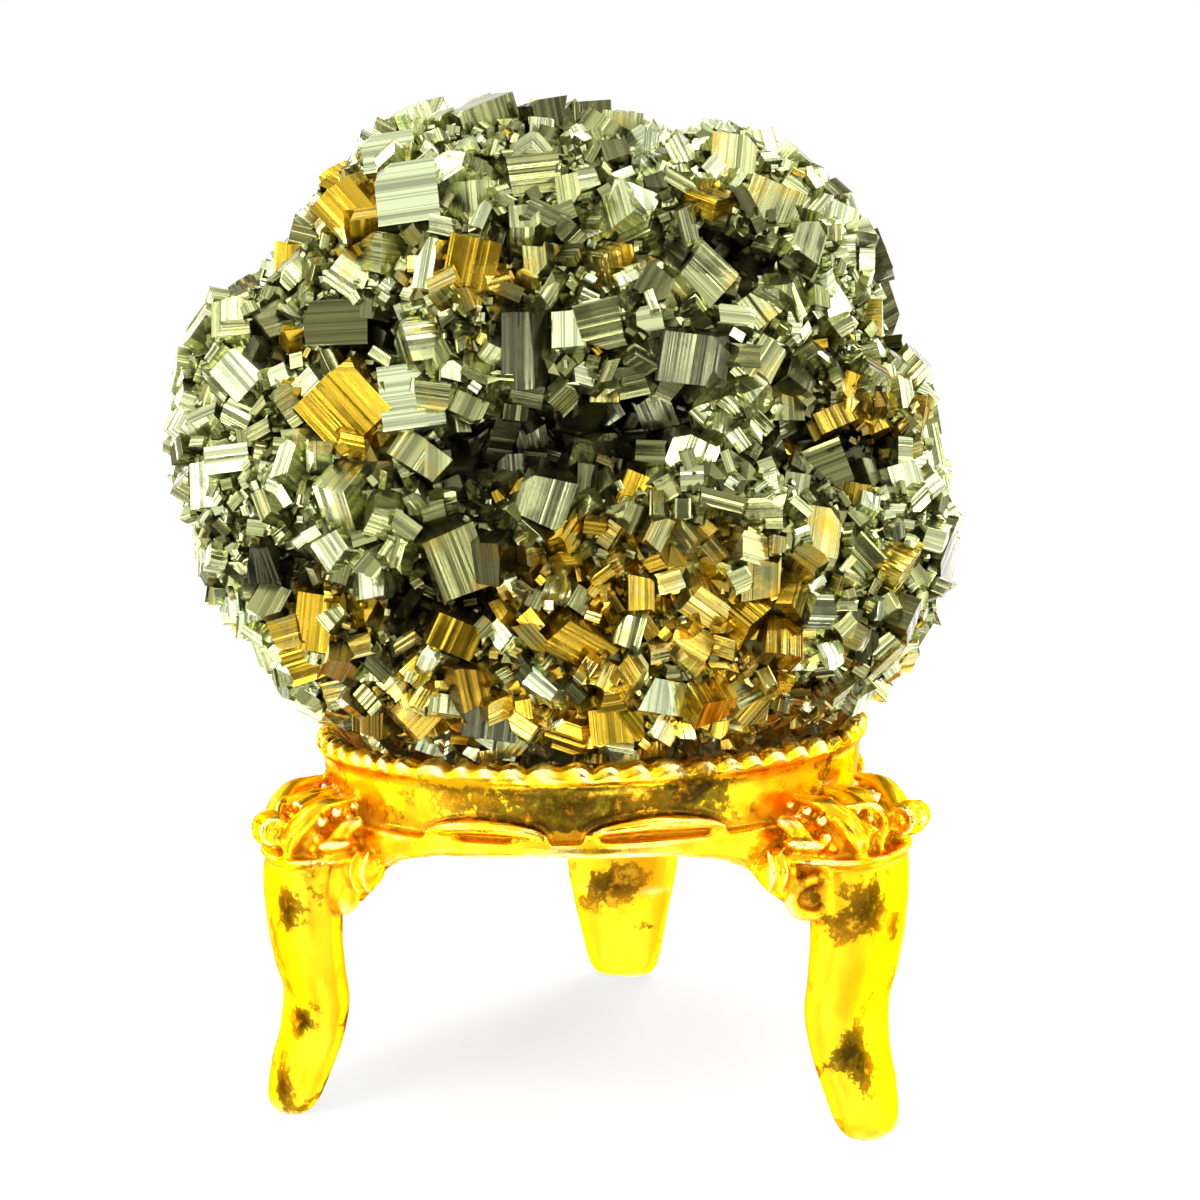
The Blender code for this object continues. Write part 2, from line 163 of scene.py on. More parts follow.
# place, half width, half height, depth and slope of each cleft in the front
clefts = [
    ((-2, 48.5), 9.5, 2.4, 5.5, 8),
    ((15.5, 47.7), 4.2, 2.1, 4.5, -12),
    ((8.2, 60.2), 3.2, 2.1, 4, 0),
    ((-10, 38.2), 3.6, 1.6, 3.2, 10),
    ((-20.5, 39.5), 3, 1.6, 3, -15),
    ((-14.2, 54.8), 2.2, 2, 3.2, 0),
]


def makeReach():
    # the outline's distance from the centre, by direction in the front plane
    marks = []
    for x, z in mass["outline"]:
        dx, dz = x * mm - mass["centre"].x, z * mm - mass["centre"].z
        marks.append((math.atan2(dz, dx), math.hypot(dx, dz)))
    marks.sort()
    before = (marks[-1][0] - 2 * math.pi, marks[-1][1])
    after = (marks[0][0] + 2 * math.pi, marks[0][1])
    return [before] + marks + [after]


reachMarks = makeReach()


def outlineReach(turn):
    for (a, reachA), (b, reachB) in zip(reachMarks, reachMarks[1:]):
        if a <= turn <= b:
            share = (turn - a) / (b - a)
            share = share * share * (3 - 2 * share)
            return reachA + (reachB - reachA) * share
    return reachMarks[0][1]


def coneRadius(point):
    # the seat's inner radius at a point's height, its cone carried on above the rim
    height = point.z - point.x * seat["slope"]
    share = (height - seat["lowHeight"]) / (seat["rimHeight"] - seat["lowHeight"])
    return seat["holeRadius"] + (seat["topRadius"] - seat["holeRadius"]) * max(share, 0)


def aboveRing(point):
    height = point.z - point.x * seat["slope"]
    return height > seat["rimHeight"] + seat["rimLift"] + mass["seatGap"]


def cleftDepth(point):
    depth = 0
    for (x, z), halfWidth, halfHeight, deep, slope in clefts:
        lean = math.radians(slope)
        dx, dz = point.x - x * mm, point.z - z * mm
        along = (dx * math.cos(lean) + dz * math.sin(lean)) / (halfWidth * mm)
        over = (dz * math.cos(lean) - dx * math.sin(lean)) / (halfHeight * mm)
        depth = max(depth, deep * mm * math.exp(-(along ** 4) - over ** 2))
    return depth


def massPoint(direction, sink=0):
    flat = math.hypot(direction.x, direction.z)
    lower = min(max(-direction.z / mass["underside"], 0), 1)
    power = mass["upperFullness"] + (mass["lowerFullness"] - mass["upperFullness"]) * lower
    grow = (flat ** power + abs(direction.y) ** power) ** (-1 / power)
    reach = outlineReach(math.atan2(direction.z, direction.x)) - mass["crystalCover"]
    offset = Vector((direction.x * reach, direction.y * mass["halfDepth"], direction.z * reach)) * grow
    point = mass["centre"] + offset
    bump = noise.noise(point / mass["bumpSize"]) * mass["bumpHeight"]
    point += offset.normalized() * (bump - sink)
    if direction.y < 0:
        point.y += cleftDepth(point)
    beyond = math.hypot(point.x, point.y) / (coneRadius(point) - mass["seatGap"])
    if beyond > 1:
        point.x /= beyond
        point.y /= beyond
    return point


def massTree(detail, sink=0):
    shape = bmesh.new()
    bmesh.ops.create_icosphere(shape, subdivisions=detail, radius=1)
    for vert in shape.verts:
        vert.co = massPoint(vert.co.normalized(), sink)
    tree = BVHTree.FromBMesh(shape)
    corners = [[vert.co.copy() for vert in face.verts] for face in shape.faces]
    shape.free()
    return tree, corners


# Cluster: where the large crystals sit, the same as in the solid

# place, width, height, turn, lean to the viewer's right, lean up, and finish
frontCrystals = [
    ((-12, 64), 4.2, 4.1, 98, -6, 14, "pale"),
    ((-13.6, 67.3), 2.8, 3.6, 98, -10, 18, "pale"),
    ((-16, 64), 3.8, 3.6, 44, -14, -4, "golden"),
    ((-17.8, 66.2), 2.7, 2.6, 42, -20, -6, "golden"),
    ((-7.9, 59.9), 3.3, 3.1, -12, 4, -6, "golden"),
    ((-20.7, 60.4), 2, 3.1, -8, -22, -4, "golden"),
    ((-15.9, 50.8), 4.8, 4.4, 42, -8, -8, "golden"),
    ((-11.6, 50.8), 4.3, 4.1, 98, -4, 14, "pale"),
    ((-4.3, 54.6), 3.8, 5, 2, 10, -16, "dark"),
    ((2.7, 63.7), 3, 2.3, -14, -18, 12, "pale"),
    ((6.6, 58.7), 4.6, 3, 48, 12, -8, "brass"),
    ((6.2, 54.1), 4.6, 3.3, -6, 6, -18, "dark"),
    ((11, 53.4), 2.7, 2.8, -34, 14, 2, "brass"),
    ((8.5, 51.1), 4.4, 2.8, 46, 8, -10, "brass"),
    ((-1.4, 55.2), 2.2, 2.4, 4, -12, 16, "pale"),
    ((0.6, 51.9), 1.9, 2.2, 0, 4, 6, "brass"),
    ((-17.3, 36.6), 3.9, 3.8, -8, -8, -4, "golden"),
    ((-14.5, 39.1), 2.6, 2.1, 12, -20, 10, "pale"),
    ((-22.4, 35.9), 3.2, 2.3, -4, -18, 4, "pale"),
    ((-9, 36), 3.1, 2.2, -24, 6, -6, "golden"),
    ((3, 44.8), 3.1, 2.6, -22, 6, 2, "golden"),
    ((-4.7, 44.7), 3.1, 2, 26, -10, 8, "golden"),
    ((4.5, 31.8), 3, 2.2, -6, -16, 12, "pale"),
    ((1.5, 30.1), 3.6, 2.4, 6, 2, -8, "golden"),
    ((14.3, 42.4), 3.1, 3.2, -10, 10, 8, "brass"),
    ((12.5, 34.5), 2.8, 2.4, 2, 16, 6, "pale"),
    ((17.7, 51.1), 3.8, 2.8, -20, 20, 4, "golden"),
    ((11.7, 64.3), 4, 2.6, -20, 12, -6, "brass"),
    ((9.2, 67.4), 3.1, 2.8, -6, 8, 4, "brass"),
    ((-23.1, 52.8), 3.2, 3, 46, -18, 8, "pale"),
    ((-24.3, 56.4), 2.8, 2.6, 12, -24, 18, "brass"),
    ((-25.6, 45.2), 2.4, 3.2, 10, -26, 12, "pale"),
    ((-21.8, 40.4), 2.5, 2.4, 2, -16, -12, "dark"),
    ((-6.6, 30.6), 3.7, 2.9, -8, -4, -14, "dark"),
    ((-11.2, 47.3), 3.6, 2.1, -32, -4, 16, "brass"),
    ((10.7, 57.1), 2.6, 2.2, 38, 10, 4, "brass"),
    ((15.8, 57.8), 2.7, 2.6, 20, 18, 16, "pale"),
    ((20.5, 45.5), 2.6, 2.6, 14, 26, 10, "pale"),
]
largeCrystals = {
    "frontStandOut": 0.42,
    "sizes": [(42, 4.6, 6), (66, 3.6, 4.6), (58, 2.8, 3.6)],
    "placesTried": 14,
    "tip": (math.radians(5), math.radians(50)),
    "standOut": (1 * mm, 2.2 * mm),
    "width": (0.6, 1.0),
    "height": 0.8,
    # how finely their edges are tried against the ring
    "edgeSamples": 6,
    "margin": 0.25 * mm,
    "seed": 11,
}


def boxCorners(matrix, size):
    halves = [(x, y, z) for x in (-0.5, 0.5) for y in (-0.5, 0.5) for z in (-0.5, 0.5)]
    return [matrix @ Vector((x * size[0], y * size[1], z * size[2])) for x, y, z in halves]


def clearsRing(matrix, size):
    corners, samples = boxCorners(matrix, size), largeCrystals["edgeSamples"]
    for i, first in enumerate(corners):
        for last in corners[i + 1 :]:
            for step in range(samples + 1):
                point = first.lerp(last, step / samples)
                reach = math.hypot(point.x, point.y)
                if reach > coneRadius(point) - mass["seatGap"] and not aboveRing(point):
                    return False
    return True


def placeFrontCrystals(tree):
    placed = []
    for (x, z), width, height, turn, leanRight, leanUp, finish in frontCrystals:
        width, height = width * mm, height * mm
        hit = tree.ray_cast(Vector((x * mm, -1, z * mm)), Vector((0, 1, 0)))[0]
        thickness = min(width, height)
        spin = Matrix.Rotation(math.radians(leanRight), 4, "Z")
        spin = spin @ Matrix.Rotation(math.radians(-leanUp), 4, "X")
        spin = spin @ Matrix.Rotation(math.radians(-turn), 4, "Y")
        centre = hit + Vector((0, thickness * (0.5 - largeCrystals["frontStandOut"]), 0))
        placed.append((Matrix.Translation(centre) @ spin, (width, thickness, height), finish))
    return placed


def outwardTurn(dice, normal, tip):
    spin = Matrix.Rotation(dice.uniform(0, 2 * math.pi), 4, "Z")
    tipAxis = Matrix.Rotation(dice.uniform(0, 2 * math.pi), 4, "Z") @ Vector((1, 0, 0))
    tipOver = Matrix.Rotation(dice.uniform(*tip), 4, tipAxis)
    return normal.to_track_quat("Z", "Y").to_matrix().to_4x4() @ tipOver @ spin


def placeLargeCrystal(dice, tree, smallest, largest):
    edge = dice.uniform(smallest, largest)
    size = (edge, edge * dice.uniform(*largeCrystals["width"]), edge * largeCrystals["height"])
    direction = Vector((dice.gauss(0, 1), dice.gauss(0, 1), dice.gauss(0, 1))).normalized()
    point, normal = tree.ray_cast(mass["centre"], direction)[:2]
    if normal.dot(direction) < 0:
        normal.negate()
    turn = outwardTurn(dice, (normal + direction).normalized(), largeCrystals["tip"])
    reach = max(corner.dot(normal) for corner in boxCorners(turn, size))
    centre = point + normal * (dice.uniform(*largeCrystals["standOut"]) - reach)
    return Matrix.Translation(centre) @ turn, size


def placeLargeCrystals(tree, placed):
    dice = random.Random(largeCrystals["seed"])
    taken = [matrix.to_translation() for matrix, size, finish in placed]
    for count, smallest, largest in largeCrystals["sizes"]:
        for made in range(count):
            best = None
            for attempt in range(largeCrystals["placesTried"]):
                matrix, size = placeLargeCrystal(dice, tree, smallest * mm, largest * mm)
                centre = matrix.to_translation()
                room = min((centre - other).length for other in taken)
                if (best is None or room > best[0]) and clearsRing(matrix, size):
                    best = (room, centre, matrix, size)
            if best:
                taken.append(best[1])
                placed.append(best[2:] + (None,))


# Cluster: the crystals themselves, modelled at unit size

crystalShapes = {
    "seed": 5,
    # widths of the terraces and of the slopes between them, how deep they lie, how far their ends
    # step back, and how near the middle a corner may be cut off
    "large": {"count": 12, "terrace": (0.05, 0.15), "slope": (0.01, 0.04), "relief": (0.02, 0.05),
              "ragged": (0.08, 0.14, 0.24), "clip": 0.66},
    "middle": {"count": 18, "terrace": (0.14, 0.34), "slope": (0.02, 0.08), "relief": 0.07,
               "ragged": (0.08, 0.18, 0.3), "clip": 0.58},
    "small": {"count": 10, "cuts": (1, 2), "taper": 0.25},
    "grain": {"count": 4, "cuts": 1, "taper": 0.15},
    # rise of a slope against its width, how much it varies, and the relief of the underside
    "steepness": 0.55,
    "riseVaries": (0.6, 1.2),
    "underRelief": 0.8,
    # planes that cut corners and sides: how many at most, their distances from the middle, their lean
    "mostClips": 2,
    "lightestClip": 0.75,
    "sideClip": (0.4, 0.5),
    "sideLean": 0.3,
    "chipCut": (0.5, 0.62),
    "chipDepth": 0.84,
    # the growth lines of each copy start somewhere else, in mm
    "lineStart": (0, 500),
}


def walkAcross(dice, terrace, slope, relief):
    # cut places from one side to the other and the height at each: terraces with slopes between them
    places, heights = [], []
    place, height = -0.5 + dice.uniform(*terrace) * 0.6, -relief * 0.5
    while place < 0.5 - terrace[0]:
        places.append(place)
        heights.append(height)
        place += dice.uniform(*slope)
        rise = dice.choice((-1, 1)) * crystalShapes["steepness"]
        rise = rise * dice.uniform(*crystalShapes["riseVaries"]) * slope[1]
        target = height + rise
        if abs(target) > relief:
            target = height - rise
        height = target
        places.append(min(place, 0.49))
        heights.append(height)
        place += dice.uniform(*terrace)
    return places, heights


def makeStriatedCrystal(name, dice, shape, relief, ragged, clips, sideLines):
    piece = startCube(name)
    places, heights = walkAcross(dice, shape["terrace"], shape["slope"], relief)
    bpy.ops.mesh.select_all(action="SELECT")
    cutAcross(places, 1)
    # both lines of a terrace end at the same reach, so the ends are stepped like a comb
    terraces = len(places) // 2 + 1
    reaches = [(-dice.uniform(0, ragged), dice.uniform(0, ragged)) for terrace in range(terraces)]
    for i, (place, height) in enumerate(zip(places, heights)):
        near = lambda co: abs(co.y - place) < 1e-4
        right, left = reaches[(i + 1) // 2]
        under = -height * crystalShapes["underRelief"]
        shiftVerts(piece, lambda co: near(co) and co.z > 0.2, (0, 0, height))
        shiftVerts(piece, lambda co: near(co) and co.z < -0.2, (0, 0, under))
        shiftVerts(piece, lambda co: near(co) and co.x > 0.2, (right, 0, 0))
        shiftVerts(piece, lambda co: near(co) and co.x < -0.2, (left, 0, 0))
    for side in (-1, 1) if sideLines else ():
        lines, depths = walkAcross(dice, shape["terrace"], shape["slope"], relief)
        onSide = lambda co: co.y * side > 0.4
        pickVerts(piece, lambda co: co.y * side > 0.4999)
        cutAcross(lines, 0)
        for line, depth in zip(lines, depths):
            shiftVerts(piece, lambda co: abs(co.x - line) < 1e-4 and onSide(co), (0, depth * side, 0))
    for normal, distance in clips:
        clipCorner(normal, distance)
    selectNothing()
    return piece


def makeChip(name, dice, cuts, taper):
    # a small crystal: a block with a few corners and edges broken off, no two sides quite parallel
    piece = startCube(name)
    shiftVerts(piece, lambda co: co.z > 0.4 and co.x > 0.4, (0, 0, -dice.uniform(0, taper)))
    shiftVerts(piece, lambda co: co.z > 0.4 and co.y > 0.4, (0, 0, -dice.uniform(0, taper)))
    for cut in range(cuts):
        corner = Vector([dice.choice((-1, 1)) * dice.uniform(0.3, 1) for axis in range(3)])
        reach = dice.uniform(*crystalShapes["chipCut"]) * sum(abs(c) for c in corner.normalized())
        clipCorner(corner, reach * crystalShapes["chipDepth"])
    selectNothing()
    return piece


def pickClips(dice, deepest):
    # planes that take off corners, and planes near a side that make the outline five-sided or a wedge
    corners = [(1, 1, 1), (-1, 1, 1), (1, -1, 1), (-1, -1, 1), (1, 1, -1), (0.2, 1, 1), (1, 0.2, 1)]
    most, lightest, lean = [crystalShapes[name] for name in ("mostClips", "lightestClip", "sideLean")]
    cut = dice.sample(corners, dice.choice((0, 1, most)))
    clips = [(corner, dice.uniform(deepest, lightest)) for corner in cut]
    for turn in range(dice.choice((0, 1, 1, most))):
        angle = dice.uniform(0, 2 * math.pi)
        side = (math.cos(angle), math.sin(angle), dice.uniform(-lean, lean))
        clips.append((side, dice.uniform(*crystalShapes["sideClip"])))
    return clips


def makeStriatedMaster(kind, number, dice):
    shape, isLarge = crystalShapes[kind], kind == "large"
    clips = pickClips(dice, shape["clip"])
    relief = dice.uniform(*shape["relief"]) if isLarge else shape["relief"]
    ragged = dice.choice(shape["ragged"])
    return makeStriatedCrystal(f"{kind}{number}", dice, shape, relief, ragged, clips, isLarge)


def makeMasters():
    # each kind of crystal is modelled a few times, and every copy takes one of them
    dice = random.Random(crystalShapes["seed"])
    masters = {"large": [], "middle": [], "small": [], "grain": []}
    for kind in ("large", "middle"):
        for i in range(crystalShapes[kind]["count"]):
            masters[kind].append(makeStriatedMaster(kind, i, dice))
    small, grain = crystalShapes["small"], crystalShapes["grain"]
    for i in range(small["count"]):
        masters["small"].append(makeChip(f"small{i}", dice, dice.choice(small["cuts"]), small["taper"]))
    for i in range(grain["count"]):
        masters["grain"].append(makeChip(f"grain{i}", dice, grain["cuts"], grain["taper"]))
    return masters


def readMaster(piece):
    # its mesh as arrays, with the coordinate that each face's growth lines vary along
    mesh = piece.data
    verts = np.array([vert.co for vert in mesh.vertices])
    faces, along = [], []
    for face in mesh.polygons:
        faces.append(list(face.vertices))
        sideways = abs(face.normal.y) > max(abs(face.normal.x), abs(face.normal.z))
        along.append(0 if sideways else 1)
    return verts, faces, along


class Heap:
    # crystals gathered into one mesh: corners, faces, and the values that the finish reads
    def __init__(self):
        self.verts, self.faces, self.lines = [], [], []
        self.values = {"shade": [], "tarnish": [], "depth": []}
        self.count = 0

    def add(self, master, matrix, size, offset, values):
        verts, faces, along = master
        scaled = verts * np.array(size)
        turn = np.array(matrix.to_3x3())
        self.verts.append(scaled @ turn.T + np.array(matrix.to_translation()))
        for face, axis in zip(faces, along):
            self.faces.append([v + self.count for v in face])
            self.lines.extend(scaled[v][axis] / mm + offset for v in face)
        for name, value in values.items():
            self.values[name].extend([value] * len(faces))
        self.count += len(verts)

    def build(self, name):
        mesh = bpy.data.meshes.new(name)
        mesh.from_pydata(np.concatenate(self.verts).tolist(), [], self.faces)
        lines = mesh.attributes.new("growthLine", "FLOAT", "CORNER")
        lines.data.foreach_set("value", self.lines)
        for key, values in self.values.items():
            layer = mesh.attributes.new(key, "FLOAT", "FACE")
            layer.data.foreach_set("value", values)
        return addObject(name, mesh)


# Cluster: how the finish varies, from place to place and from crystal to crystal, with painted shade in the
# clefts

zones = {
    # place on the front and half size of the patches with golden tarnish
    "tarnished": [((6, 37), 13, 6), ((-15, 50), 4, 3), ((-17, 37), 4, 3), ((-17, 64), 3, 3), ((19, 50), 4, 3),
                  ((-5, 31), 10, 5), ((9, 30), 9, 4), ((-8, 59), 4, 2)],
    "tarnishedBehind": [((-8, 36), 9, 5), ((13, 45), 6, 4), ((-2, 60), 5, 3), ((20, 33), 6, 5)],
    # place and half size of the patches of fine sparkling crystals
    "druse": [((-8.8, 67.3), 3.6, 2.2), ((-17.4, 44.5), 3.4, 3), ((-24, 43.2), 3, 3.4), ((0.5, 59), 3, 3),
              ((17, 59), 3, 3.4), ((20.3, 44.5), 3.4, 4), ((-13, 58), 4, 2), ((9, 45), 4, 2)],
    "nearRing": 31.5,
    # size of the areas that noise picks out, the noise that counts, and how strongly
    "tarnishAreas": (9 * mm, 0.3, 1.8),
    "druseAreas": (6 * mm, 0.12, 3),
    "druseBehind": -8 * mm,
    # spread of the shades, how a crystal takes up the tarnish around it, and how many take it up alone
    "shadeSpread": (1.4, 1.15),
    "tarnishShares": (0.1, 0.8, 1, 1.3),
    "tarnishAlone": (0.03, 0.9),
    # painted shade: the share by which a crystal deep in a cleft is darkened
    "deepShade": 0.6,
    # shade, tarnish and depth of the crystals that are placed one by one: pale and dark follow how bright
    # each face looks, so they are partly painted highlight and painted shade, and depth is painted cleft
    # shade
    "finishes": {"pale": (0.95, 0, 0), "brass": (0.62, 0.3, 0), "golden": (0.62, 1, 0), "dark": (0, 0, 0.75)},
    "seed": 31,
}


def patchAt(point, patches):
    amount = 0
    for (x, z), wide, high in patches:
        off = ((point.x / mm - x) / wide) ** 2 + ((point.z / mm - z) / high) ** 2
        amount = max(amount, math.exp(-off))
    return amount


def tarnishAt(point):
    area, least, strength = zones["tarnishAreas"]
    around = noise.noise(point / area + Vector((7, 3, 1)))
    low = (zones["nearRing"] - point.z / mm) / 5
    patches = zones["tarnished"] if point.y < 0 else zones["tarnishedBehind"]
    amount = max(patchAt(point, patches) * 0.95, (around - least) * strength, low * 0.5, 0)
    return min(amount, 1)


def druseAt(point):
    area, least, strength = zones["druseAreas"]
    around = noise.noise(point / area + Vector((2, 9, 4)))
    behind = (around - least) * strength if point.y > zones["druseBehind"] else 0
    ahead = patchAt(point, zones["druse"]) if point.y < 0 else 0
    return min(max(ahead, behind), 1)


def pickFinish(dice, point, deep):
    # shade runs from dark to pale, and tarnish from none to golden brown; a crystal deep in a cleft is
    # darkened, painted shade
    tarnish = tarnishAt(point)
    shade = dice.betavariate(*zones["shadeSpread"])
    share = dice.choice(zones["tarnishShares"])
    odds, extra = zones["tarnishAlone"]
    tarnish = min(1, tarnish * share + (extra if dice.random() < odds else 0))
    return {"shade": shade * (1 - deep * zones["deepShade"]), "tarnish": tarnish, "depth": deep}


filling = {
    # count, smallest and largest edge, spacing and standing out as shares of the edge
    "middle": (2600, 1.5, 3.4, 0.34, (0.4, 0.8)),
    "small": (5000, 0.7, 1.6, 0.32, (0.4, 0.95)),
    "grain": (6500, 0.3, 0.75, 0.3, (0.5, 1.0)),
    "tallest": 1.9,
    "pushes": 6,
    "push": 0.3,
    "tip": (math.radians(6), math.radians(60)),
    "widths": (0.45, 0.65, 0.8, 1),
    "widthVaries": (0.85, 1.1),
    "heights": (0.45, 0.95),
    "margin": 0.15 * mm,
    # cleft depth at which a crystal's painted shade is darkest, and the shades of fine crystals
    "darkDepth": 3.5 * mm,
    "druseShades": (0.35, 0.95, 1),
    "druseShare": 0.8,
    # small crystals are more frequent than large ones by this power
    "sizeFall": 1.4,
    # near the ring the cluster draws in: height where this starts and ends, and by what share
    "tuck": (31.5, 28, 0.08),
    "seed": 23,
}


def scatter(dice, corners, count, spacing):
    # points spread over the mass by area, none closer to another than its spacing allows
    areas = np.array([((b - a).cross(c - a)).length for a, b, c in corners])
    chosen = np.searchsorted(np.cumsum(areas) / areas.sum(), [dice.random() for i in range(count * 3)])
    found = []
    taken, takenSize = np.zeros((count, 3)), np.zeros(count)
    for index in chosen:
        a, b, c = corners[index]
        u, v = dice.random(), dice.random()
        if u + v > 1:
            u, v = 1 - u, 1 - v
        point = a + (b - a) * u + (c - a) * v
        edge, room = spacing()
        made = len(found)
        gaps = np.linalg.norm(taken[:made] - np.array(point), axis=1)
        if (gaps < room + takenSize[:made]).any():
            continue
        taken[made], takenSize[made] = point, room
        found.append((point, (b - a).cross(c - a).normalized(), edge))
        if len(found) == count:
            break
    return found


def keepInside(matrix, size, margin):
    # moves a crystal back by as much as it would reach out of the solid's box
    corners = boxCorners(matrix, size)
    step = Vector()
    for axis in range(3):
        low = cadBox[0][axis] - ringAxis[axis] + margin
        high = cadBox[1][axis] - ringAxis[axis] - margin
        reaches = [corner[axis] for corner in corners]
        step[axis] = max(low - min(reaches), 0) + min(high - max(reaches), 0)
    return Matrix.Translation(step) @ matrix


def clearOfRing(matrix, size, normal):
    # pushes a crystal into the mass, a little at a time, until it clears the ring
    for attempt in range(filling["pushes"]):
        if clearsRing(matrix, size):
            return matrix
        matrix = Matrix.Translation(normal * -filling["push"] * mm) @ matrix
    return None


def fillBetween(heaps, masters, corners, large):
    dice = random.Random(filling["seed"])
    blocks = [np.array(matrix.inverted()) for matrix, size, finish in large]
    sizes = [size for matrix, size, finish in large]
    for kind in ("middle", "small", "grain"):
        count, smallest, largest, share, standOut = filling[kind]
        inside, half = np.array(blocks), np.array(sizes) * 0.5

        def spacing():
            edge = (smallest + (largest - smallest) * dice.random() ** filling["sizeFall"]) * mm
            return edge, edge * share

        for point, normal, edge in scatter(dice, corners, count, spacing):
            point = tuckIn(point)
            local = np.einsum("kij,j->ki", inside[:, :3, :3], np.array(point)) + inside[:, :3, 3]
            if (np.abs(local) < half).all(axis=1).any():
                continue
            fine = druseAt(point)
            if kind == "middle" and dice.random() < fine * filling["druseShare"]:
                continue
            direction = (point - mass["centre"]).normalized()
            if normal.dot(direction) < 0:
                normal = -normal
            turn = outwardTurn(dice, (normal * 2 + direction).normalized(), filling["tip"])
            width = edge * dice.choice(filling["widths"]) * dice.uniform(*filling["widthVaries"])
            size = (edge, width, edge * dice.uniform(*filling["heights"]))
            reach = max(corner.dot(normal) for corner in boxCorners(turn, size))
            out = min(dice.uniform(*standOut) * edge, filling["tallest"] * mm)
            matrix = Matrix.Translation(point + normal * (out - reach)) @ turn
            if point.z < zones["nearRing"] * mm:
                matrix = clearOfRing(matrix, size, normal)
            if matrix is None:
                continue
            matrix = keepInside(matrix, size, filling["margin"])
            # painted shade: a crystal in a front cleft is darkened by how deep it lies
            deep = min(cleftDepth(point) / filling["darkDepth"], 1) if point.y < 0 else 0
            values = pickFinish(dice, point, deep)
            values["shade"] = values["shade"] * (1 - fine) + fine * dice.choice(filling["druseShades"])
            master = dice.choice(masters[kind])
            start = dice.uniform(*crystalShapes["lineStart"])
            heaps[kind].add(master, matrix, size, start, values)
            if kind == "middle":
                blocks.append(np.array(matrix.inverted()))
                sizes.append(size)


# how far its corners sink below the mass in mm, the cleft depth where its painted shade is darkest, and its
# darker shade, painted shade between the crystals
groundMass = {"detail": 6, "sink": (0.35, 1.3), "darkDepth": 3 * mm, "shade": 0.62, "seed": 8}


def tuckIn(point):
    start, end, share = filling["tuck"]
    low = min(max((start - point.z / mm) / (start - end), 0), 1)
    return Vector((point.x * (1 - share * low), point.y * (1 - share * low), point.z))


def addGroundMass(heap):
    # the rough mass between the crystals, darkened as painted shade: a closed skin of small broken faces
    dice = random.Random(groundMass["seed"])
    shape = bmesh.new()
    bmesh.ops.create_icosphere(shape, subdivisions=groundMass["detail"], radius=1)
    for vert in shape.verts:
        vert.co = tuckIn(massPoint(vert.co.normalized(), dice.uniform(*groundMass["sink"]) * mm))
    heap.verts.append(np.array([vert.co for vert in shape.verts]))
    for face in shape.faces:
        heap.faces.append([vert.index + heap.count for vert in face.verts])
        middle = face.calc_center_median()
        heap.lines.extend([middle.z / mm] * 3)
        values = pickFinish(dice, middle, min(cleftDepth(middle) / groundMass["darkDepth"], 1))
        values["shade"] *= groundMass["shade"]
        for key, value in values.items():
            heap.values[key].append(value)
    heap.count += len(shape.verts)
    shape.free()


def buildCluster():
    masters = makeMasters()
    print("crystal masters modelled")
    tree = massTree(3)[0]
    large = placeFrontCrystals(tree)
    placeLargeCrystals(tree, large)
    margin = largeCrystals["margin"]
    large = [(keepInside(matrix, size, margin), size, finish) for matrix, size, finish in large]
    print("large crystals placed:", len(large))
    shapes = {kind: [readMaster(piece) for piece in pieces] for kind, pieces in masters.items()}
    for pieces in masters.values():
        for piece in pieces:
            bpy.data.objects.remove(piece)
    coarse, fine, lineStart = Heap(), Heap(), crystalShapes["lineStart"]
    addGroundMass(coarse)
    dice = random.Random(zones["seed"])
    for matrix, size, finish in large:
        place = matrix.to_translation()
        values = pickFinish(dice, place, 0)
        if finish:
            values = dict(zip(("shade", "tarnish", "depth"), zones["finishes"][finish]))
        coarse.add(dice.choice(shapes["large"]), matrix, size, dice.uniform(*lineStart), values)
    fillBetween({"middle": coarse, "small": fine, "grain": fine}, shapes, massTree(5, 0.2 * mm)[1], large)
    pieces = [coarse.build("pyriteCrystals"), fine.build("pyriteDruse")]
    for piece in pieces:
        piece.data.transform(Matrix.Translation(ringAxis))
        print(piece.name, "built, triangles:", countTriangles(piece))
    return pieces


# Stand: one casting, modelled in millimetres about the ring's axis and brought to size at the end.
# Its knee and leg are made once, pointing along +X, and so is the apron of one bay.

def smoothed(rows, steps):
    # points between rows of numbers, on a curve through them
    rows = [np.array(row, dtype=float) for row in rows]
    ends = [rows[0] * 2 - rows[1]] + rows + [rows[-1] * 2 - rows[-2]]
    found = []
    for a, b, c, d in zip(ends, ends[1:], ends[2:], ends[3:]):
        for step in range(steps):
            t = step / steps
            found.append(0.5 * (2 * b + (c - a) * t + (2 * a - 5 * b + 4 * c - d) * t ** 2
                                + (3 * b - a - 3 * c + d) * t ** 3))
    return found + [rows[-1]]


def makeRod(points):
    # a round rib through points with a place and a radius, thick and thin along its length
    curve = bpy.data.curves.new("rod", "CURVE")
    curve.dimensions = "3D"
    curve.bevel_depth = 1
    curve.bevel_resolution = 5
    curve.use_fill_caps = True
    path = smoothed(points, 5)
    spline = curve.splines.new("POLY")
    spline.points.add(len(path) - 1)
    for knot, (x, y, z, radius) in zip(spline.points, path):
        knot.co = (x, y, z, 1)
        knot.radius = radius
    selectNothing()
    rod = addObject("rod", curve)
    rod.select_set(True)
    bpy.context.view_layer.objects.active = rod
    bpy.ops.object.convert(target="MESH")
    return bpy.context.object


def makeBall(place, radii, tilt=0):
    selectNothing()
    bpy.ops.mesh.primitive_uv_sphere_add(segments=20, ring_count=12, location=place, rotation=(tilt, 0, 0))
    bpy.ops.transform.resize(value=radii, orient_type="LOCAL")
    return bpy.context.object


